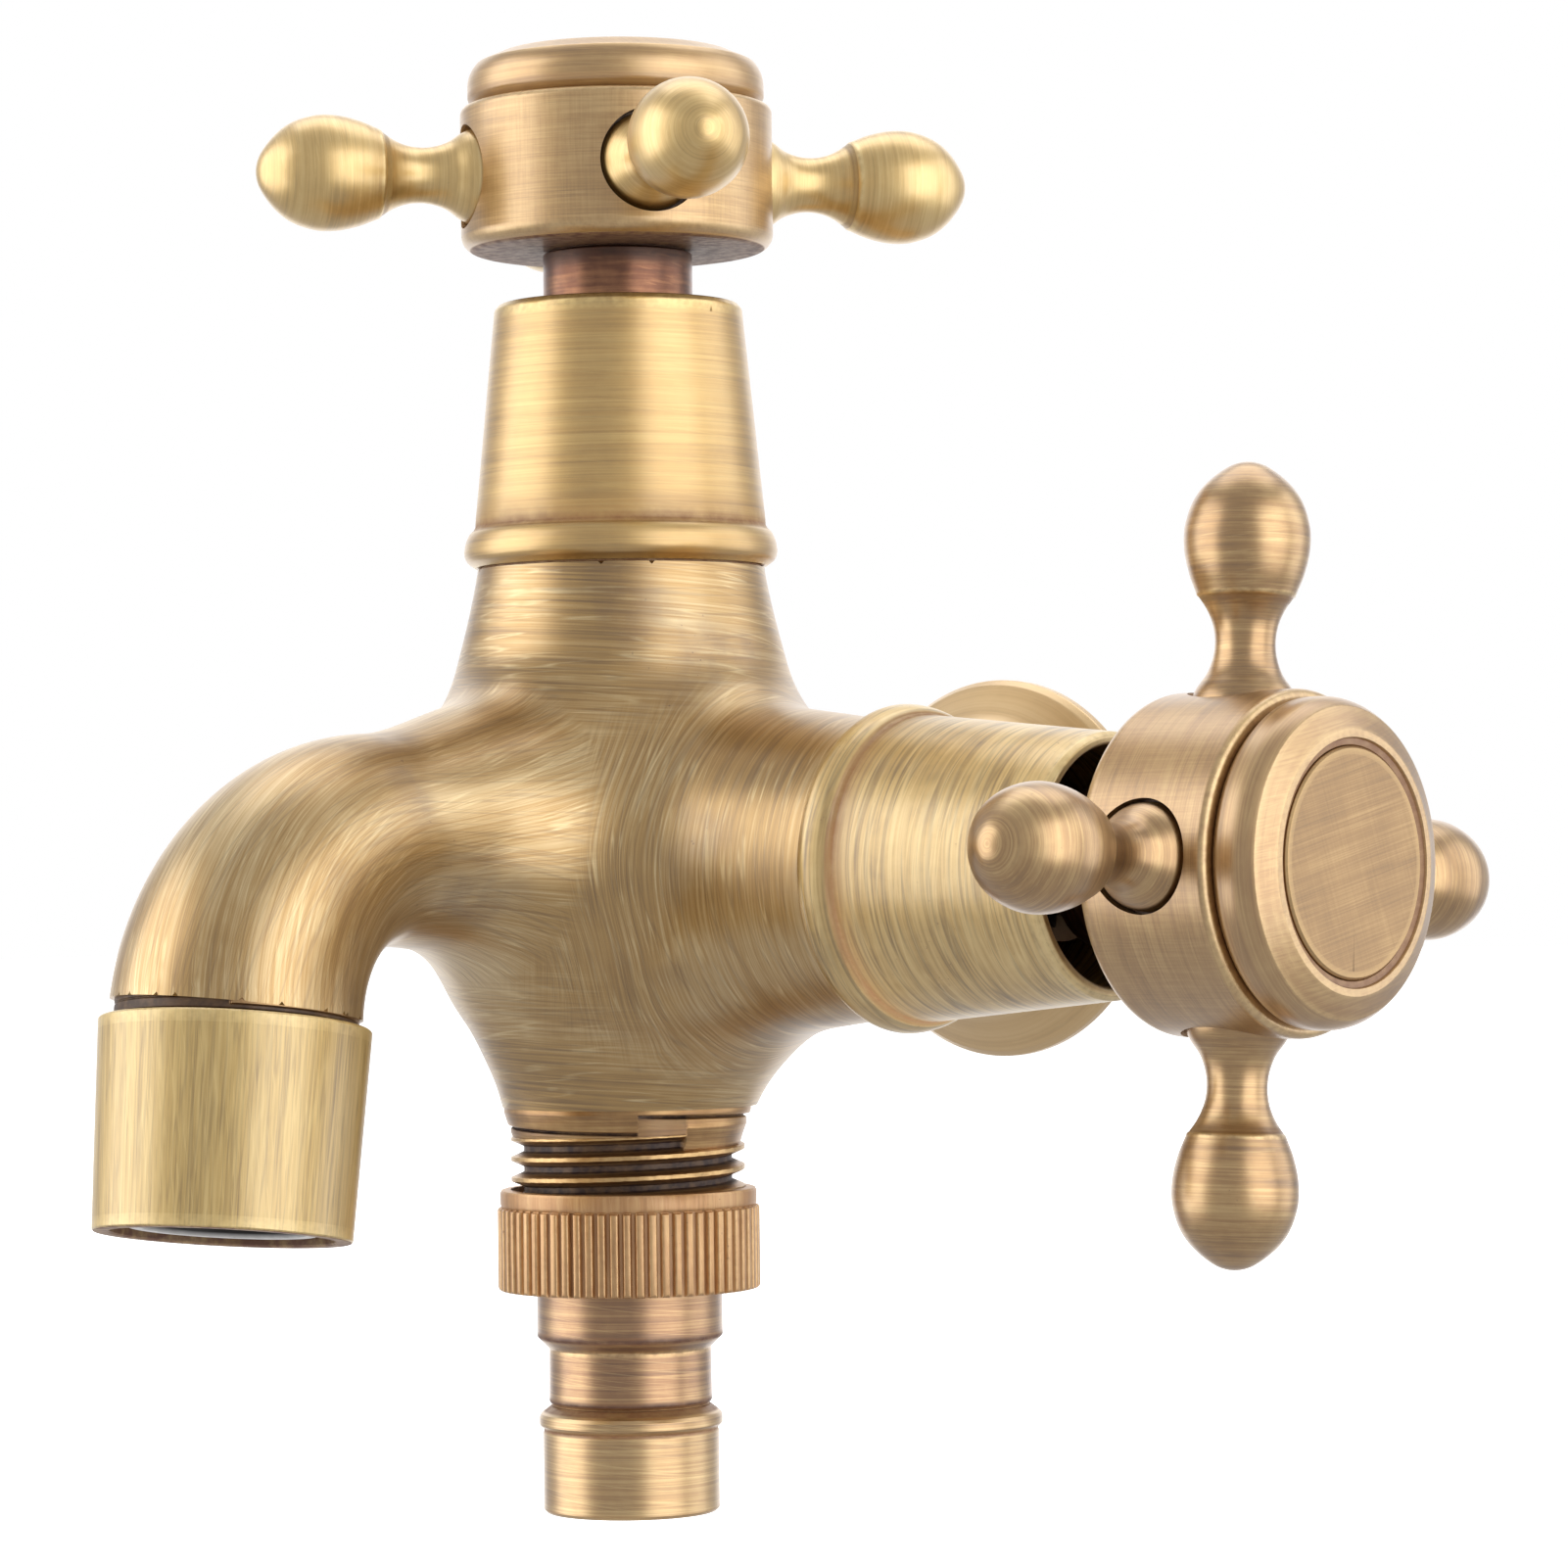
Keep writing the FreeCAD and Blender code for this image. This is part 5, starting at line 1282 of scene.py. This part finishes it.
def disc_material():
    """Brushed one way across the disc, with a fainter set at an angle."""
    g = Graph("disc_brass_brushed")
    p = g.attr("loc", True)
    wear_and_shade = g.attr("wear_and_shade")
    x, y, z = g.sep(p)
    a = math.radians(105)
    xr = g.add(g.mul(x, math.cos(a)), g.mul(y, math.sin(a)))
    yr = g.sub(g.mul(y, math.cos(a)), g.mul(x, math.sin(a)))
    f1 = g.noise(g.vec(g.mul(xr, 1 / 12.0), g.mul(yr, 1 / 0.12), z), 1.0, 2.0, 0.6, w=1.0)
    f2 = g.noise(g.vec(g.mul(xr, 1 / 14.0), g.mul(yr, 1 / 0.8), z), 1.0, 1.0, 0.5, w=2.0)
    b = math.radians(25)
    xq = g.add(g.mul(x, math.cos(b)), g.mul(y, math.sin(b)))
    yq = g.sub(g.mul(y, math.cos(b)), g.mul(x, math.sin(b)))
    f3 = g.noise(g.vec(g.mul(xq, 1 / 7.0), g.mul(yq, 1 / 0.22), z), 1.0, 1.0, 0.5, w=3.0)
    cloud = g.noise(p, 0.18, 2.0, 0.5, w=4.0)
    dark, mid, light = lin(100, 74, 40), lin(152, 117, 68), lin(198, 164, 108)
    t = g.add(0.5, g.add(g.add(centred(g, f1, 0.8), centred(g, f2, 0.25)), g.add(centred(g, f3, 0.22), centred(g, cloud, 0.5))))
    col = g.ramp(t, [(0.0, dark), (0.5, mid), (1.0, light)])
    col = g.mix(g.mul(g.math("MAXIMUM", wear_and_shade, 0.0), 0.5), col, light)
    n = g.bump(g.add(f1, g.mul(f3, 0.5)), 0.55, 0.00001)
    return g.done(col, g.add(0.42, centred(g, f1, 0.15)), n, coat=0.5, coat_rough=0.36)


def plain(name, color, rough, metallic, bump=0.3, grain=3.0, shift=0.12, coat=0.0):
    """Finish for the small inner pieces: a little mottling and grain."""
    g = Graph(name)
    c = g.t.nodes.new("ShaderNodeTexCoord").outputs["Object"]
    p = g.vmath("SCALE", c, scale=1000.0)
    m = g.noise(p, 0.35, 3.0, 0.55, w=1.0)
    f = g.noise(p, grain, 2.0, 0.6, w=2.0)
    lo = tuple(v * (1 - shift * 2.2) for v in color)
    hi = tuple(min(1, v * (1 + shift)) for v in color)
    col = g.ramp(g.add(0.5, g.add(centred(g, m, 1.2), centred(g, f, 0.5))), [(0.0, lo), (0.5, color), (1.0, hi)])
    n = g.bump(f, bump, 0.00002)
    return g.done(col, g.add(rough, centred(g, m, 0.15)), n, metallic=metallic, coat=coat)


def plastic_material():
    """Moulded ring: white plastic dimmed to grey as painted shade, and near-black painted shade where it is set back.
    """
    g = Graph("plastic_ring_moulded")
    p = g.attr("loc", True)
    m = g.noise(p, 0.9, 3.0, 0.6, w=1.0)
    col = g.ramp(m, [(0.0, (0.24, 0.23, 0.23)), (0.55, (0.38, 0.37, 0.36)), (1.0, (0.50, 0.49, 0.48))])
    set_back_shade = g.math("MAXIMUM", g.mul(g.attr("wear_and_shade"), -1.0), 0.0)
    col = g.mix(set_back_shade, col, (0.012, 0.010, 0.009, 1))
    return g.done(col, g.add(0.45, centred(g, m, 0.2)), g.bump(m, 0.3, 0.00002), metallic=0.0)


def make_materials():
    mats = {}
    olive = (lin(112, 82, 36), lin(190, 150, 76), lin(230, 200, 124))
    handle = (lin(110, 78, 40), lin(180, 140, 80), lin(228, 196, 134))
    brown = lin(84, 54, 38)
    mats["body"] = body_material()
    mats["plastic"] = plastic_material()
    mats["bonnet_upper"] = brass("bonnet_brass_upper", *olive, lin(128, 88, 48), fine=0.17, long=26, rough=0.42, marks=0.14, seed=2.0, blotch=0.5, rings=0.14, coat=0.9, tone=0.65)
    mats["bonnet_side"] = brass("bonnet_brass_side", lin(116, 88, 42), lin(202, 168, 98), lin(234, 208, 144), lin(150, 108, 66), fine=0.26, long=18, rough=0.52, marks=0.45, seed=5.0, blotch=0.8, pits=0.8, tone=1.0, rings=0.5)
    mats["collar"] = brass("collar_brass_brushed", lin(134, 104, 48), lin(198, 166, 92), lin(228, 202, 134), brown, strokes="long", fine=0.19, long=60, rough=0.58, marks=0.35,
                           seed=4.0, blotch=0.22, tone=1.1, rings=0.4)
    mats["flange"] = brass("flange_brass_turned", lin(160, 126, 76), lin(208, 172, 112), lin(232, 204, 150), lin(150, 114, 70), fine=0.24, long=24, rough=0.45, seed=6.0, blotch=0.4,
                           tone=0.5, marks=0.1)
    worn_in = (lin(102, 71, 38), lin(170, 130, 76), lin(222, 190, 128))
    mats["hub_side"] = brass("hub_brass_cross_side", *worn_in, brown, fine=0.14, long=9, rough=0.44, cross=0.35, seed=68.0, marks=0.18, blotch=0.6, tone=0.6, bump=0.7)
    mats["cap_side"] = brass("cap_brass_turned_side", *worn_in, lin(112, 74, 50), fine=0.18, long=14, rough=0.42, seed=69.0, marks=0.15, blotch=0.7, tone=0.6, face=16.7)
    mats["hub_upper"] = brass("hub_brass_cross", *handle, brown, fine=0.14, long=9, rough=0.44, cross=0.35, seed=8.0, marks=0.18, blotch=0.6, tone=0.6, bump=0.7)
    mats["cap_upper"] = brass("cap_brass_turned", *handle, lin(112, 74, 50), fine=0.18, long=14, rough=0.42, seed=9.0, marks=0.15, blotch=0.7, tone=0.6, face=16.7)
    mats["disc"] = disc_material()
    for k in range(4):
        mats["spoke_upper_%d" % k] = brass("spoke_brass_upper_%d" % (k + 1), lin(134, 102, 44), lin(208, 172, 98), lin(242, 216, 150), brown, fine=0.16, long=8, rough=0.42,
                                           seed=12.0 + 3.3 * k, marks=0.2, blotch=0.7, pits=0.1, tone=0.6)
        mats["spoke_side_%d" % k] = brass("spoke_brass_side_%d" % (k + 1), lin(94, 62, 28), lin(165, 124, 64), lin(226, 194, 130), brown, fine=0.16, long=8, rough=0.36,
                                          seed=52.0 + 3.3 * k, marks=0.2, blotch=0.8, pits=0.5, tone=0.7)
    mats["bush"] = brass("bush_copper_dark", lin(58, 30, 18), lin(108, 64, 38), lin(182, 128, 84), lin(34, 20, 14), fine=0.4, long=6, rough=0.32, seed=20.0, marks=0.2, blotch=1.2, coat=0.35)
    mats["nut"] = brass("nut_brass_coppery", lin(118, 80, 48), lin(184, 139, 90), lin(224, 190, 136), lin(112, 74, 50), strokes="long", fine=0.25, long=5, rough=0.48, seed=22.0,
                        marks=0.2, blotch=0.8, pits=0.6, coat=0.4, tone=0.7)
    mats["rear_end"] = brass("body_brass_turned_end", lin(92, 61, 22), lin(177, 136, 62), lin(222, 200, 150), brown, fine=0.2, long=14, rough=0.42, seed=44.0, marks=0.2, blotch=0.6)
    mats["nozzle_upper"] = brass("nozzle_brass_upper", lin(84, 52, 26), lin(150, 106, 58), lin(222, 184, 122), lin(80, 48, 28), fine=0.13, long=30, rough=0.34, seed=24.0, marks=0.3,
                                 blotch=0.6, tone=0.9, coat=0.8)
    mats["nozzle_lower"] = brass("nozzle_brass_lower", lin(104, 70, 34), lin(176, 136, 78), lin(232, 204, 140), lin(112, 72, 42), fine=0.13, long=30, rough=0.36, seed=25.0, marks=0.3,
                                 blotch=0.5, tone=0.9)
    mats["thread"] = brass("thread_brass_patina", lin(84, 54, 34), lin(164, 124, 74), lin(216, 182, 122), lin(50, 32, 27), fine=0.2, long=10, rough=0.38, seed=26.0, marks=0.2, coat=0.35)
    mats["nose"] = brass("nose_brass_patina", lin(84, 56, 36), lin(150, 114, 72), lin(206, 172, 120), lin(46, 30, 26), fine=0.2, long=10, rough=0.36, seed=28.0, marks=0.2, coat=0.3)
    return mats


INNER = {
    # inner brass is near-black: painted shade for the gaps where it shows
    "valve_brass": ("valve_brass_painted_shade", (0.11, 0.07, 0.04), 0.5, 1.0),
    "white_plastic": ("white_plastic_moulded", (0.80, 0.79, 0.75), 0.45, 0.0),
    "screen_steel": ("screen_steel_fine", (0.16, 0.16, 0.16), 0.35, 1.0),
    "black_rubber": ("black_rubber_soft", (0.03, 0.03, 0.032), 0.65, 0.0),
    "ceramic": ("ceramic_lapped", (0.86, 0.85, 0.80), 0.16, 0.0),
    "steel": ("stainless_steel", (0.50, 0.50, 0.51), 0.30, 1.0),
    "spring_steel": ("spring_steel_dark", (0.05, 0.04, 0.035), 0.5, 1.0),
    "bush_copper": ("bush_inner", (0.12, 0.05, 0.035), 0.4, 1.0),
}


def dress_inner():
    slots = {s["node"]: s["material_slot"] for s in frame["record"]["subparts"]}
    made = {k: plain(*v) for k, v in INNER.items()}
    for node, obj in frame["nodes"].items():
        m = made.get(slots.get(node), made["valve_brass"])
        # circlips get the near-black spring steel, as painted shade inside the bonnet mouth
        if node.endswith("_circlip"):
            m = made["spring_steel"]
        obj.data.materials.clear()
        obj.data.materials.append(m)


# ------------------------------------------------------------------ stage, light and camera
def camera():
    az, el, roll = math.radians(41.22447), math.radians(-1.03032), math.radians(-0.70632)
    set_back_shade = Vector((math.sin(az) * math.cos(el), -math.cos(az) * math.cos(el), math.sin(el)))
    right = Vector((math.cos(az), math.sin(az), 0))
    up = set_back_shade.cross(right)
    r = math.cos(roll) * right + math.sin(roll) * up
    u = -math.sin(roll) * right + math.cos(roll) * up
    at = CENTRE + set_back_shade * 447.268 + r * 14.302 + u * 7.924
    cam = bpy.data.cameras.new("camera")
    cam.sensor_fit = "AUTO"
    cam.sensor_width = 36
    cam.lens = 5086.287 / 1601 * 36
    cam.shift_x = (800.5 - 800.549) / 1601
    cam.shift_y = (800.598 - 800.5) / 1601
    cam.clip_start, cam.clip_end = 0.02, 60
    cam.dof.use_dof = False
    o = bpy.data.objects.new("camera", cam)
    m = Matrix((r, u, set_back_shade)).transposed().to_4x4()
    m.translation = at * MM
    o.matrix_world = m
    scene.collection.objects.link(o)
    scene.camera = o
    return set_back_shade, right


def soft_box(name, aim, place, size, level, colour=(1, 1, 1)):
    d = bpy.data.lights.new(name, "AREA")
    d.shape = "RECTANGLE"
    d.size, d.size_y = size
    d.energy = level * math.pi * size[0] * size[1]
    d.color = colour
    o = bpy.data.objects.new(name, d)
    o.location = place
    o.rotation_mode = "QUATERNION"
    o.rotation_quaternion = (Vector(place) - Vector(aim)).to_track_quat("Z", "Y")
    o.visible_camera = False
    scene.collection.objects.link(o)
    return o


def studio(set_back_shade, right):
    mid = Vector((0.012, -0.055, 0.005))
    flat = Vector((set_back_shade.x, set_back_shade.y, 0)).normalized()

    def around(deg, up, dist):
        a, e = math.radians(deg), math.radians(up)
        d = (flat * math.cos(a) + right * math.sin(a)) * math.cos(e) + Vector((0, 0, 1)) * math.sin(e)
        return mid + d * dist

    soft_box("light_left", mid, around(-86, 10, 1.0), (1.0, 1.3), 1.95)
    soft_box("light_right", mid, around(47, 10, 1.0), (0.95, 1.2), 1.9)
    soft_box("light_right_rear", mid, around(98, 12, 1.0), (0.6, 1.2), 1.3)
    soft_box("light_top", mid, around(170, 68, 1.1), (1.2, 0.7), 1.6)
    soft_box("light_rear", mid, around(180, 5, 1.6), (1.9, 2.0), 0.9)
    w = bpy.data.worlds.new("studio")
    w.use_nodes = True
    t = w.node_tree
    t.nodes.clear()
    out = t.nodes.new("ShaderNodeOutputWorld")
    bg = t.nodes.new("ShaderNodeBackground")
    bg.inputs["Color"].default_value = (0.97, 0.97, 1.0, 1)
    bg.inputs["Strength"].default_value = 0.58
    show = t.nodes.new("ShaderNodeBackground")
    show.inputs["Color"].default_value = (1, 1, 1, 1)
    show.inputs["Strength"].default_value = 1.0
    path = t.nodes.new("ShaderNodeLightPath")
    mix = t.nodes.new("ShaderNodeMixShader")
    t.links.new(path.outputs["Is Camera Ray"], mix.inputs[0])
    t.links.new(bg.outputs[0], mix.inputs[1])
    t.links.new(show.outputs[0], mix.inputs[2])
    t.links.new(mix.outputs[0], out.inputs["Surface"])
    scene.world = w
    # plain pale floor, well below the tap
    me = bpy.data.meshes.new("floor")
    s, z = 6.0, -0.125
    me.from_pydata([(-s, -s, z), (s, -s, z), (s, s, z), (-s, s, z)], [], [(0, 1, 2, 3)])
    f = bpy.data.objects.new("floor", me)
    scene.collection.objects.link(f)
    g = Graph("floor_pale")
    c = g.t.nodes.new("ShaderNodeTexCoord").outputs["Object"]
    n = g.noise(c, 3.0, 2.0, 0.5)
    col = g.ramp(n, [(0.0, (0.90, 0.90, 0.90)), (1.0, (0.93, 0.93, 0.93))])
    g.bsdf.inputs["Emission Color"].default_value = (1, 1, 1, 1)
    g.bsdf.inputs["Emission Strength"].default_value = 0.9
    me.materials.append(g.done(col, 0.9, metallic=0.0))
    f.visible_glossy = False


def main():
    dress_inner()
    build(make_materials())
    set_back_shade, right = camera()
    studio(set_back_shade, right)
    vs = scene.view_settings
    vs.view_transform = "Standard"
    vs.look = "None"
    vs.exposure = 0.0
    vs.gamma = 1.0
    bpy.context.view_layer.update()


main()
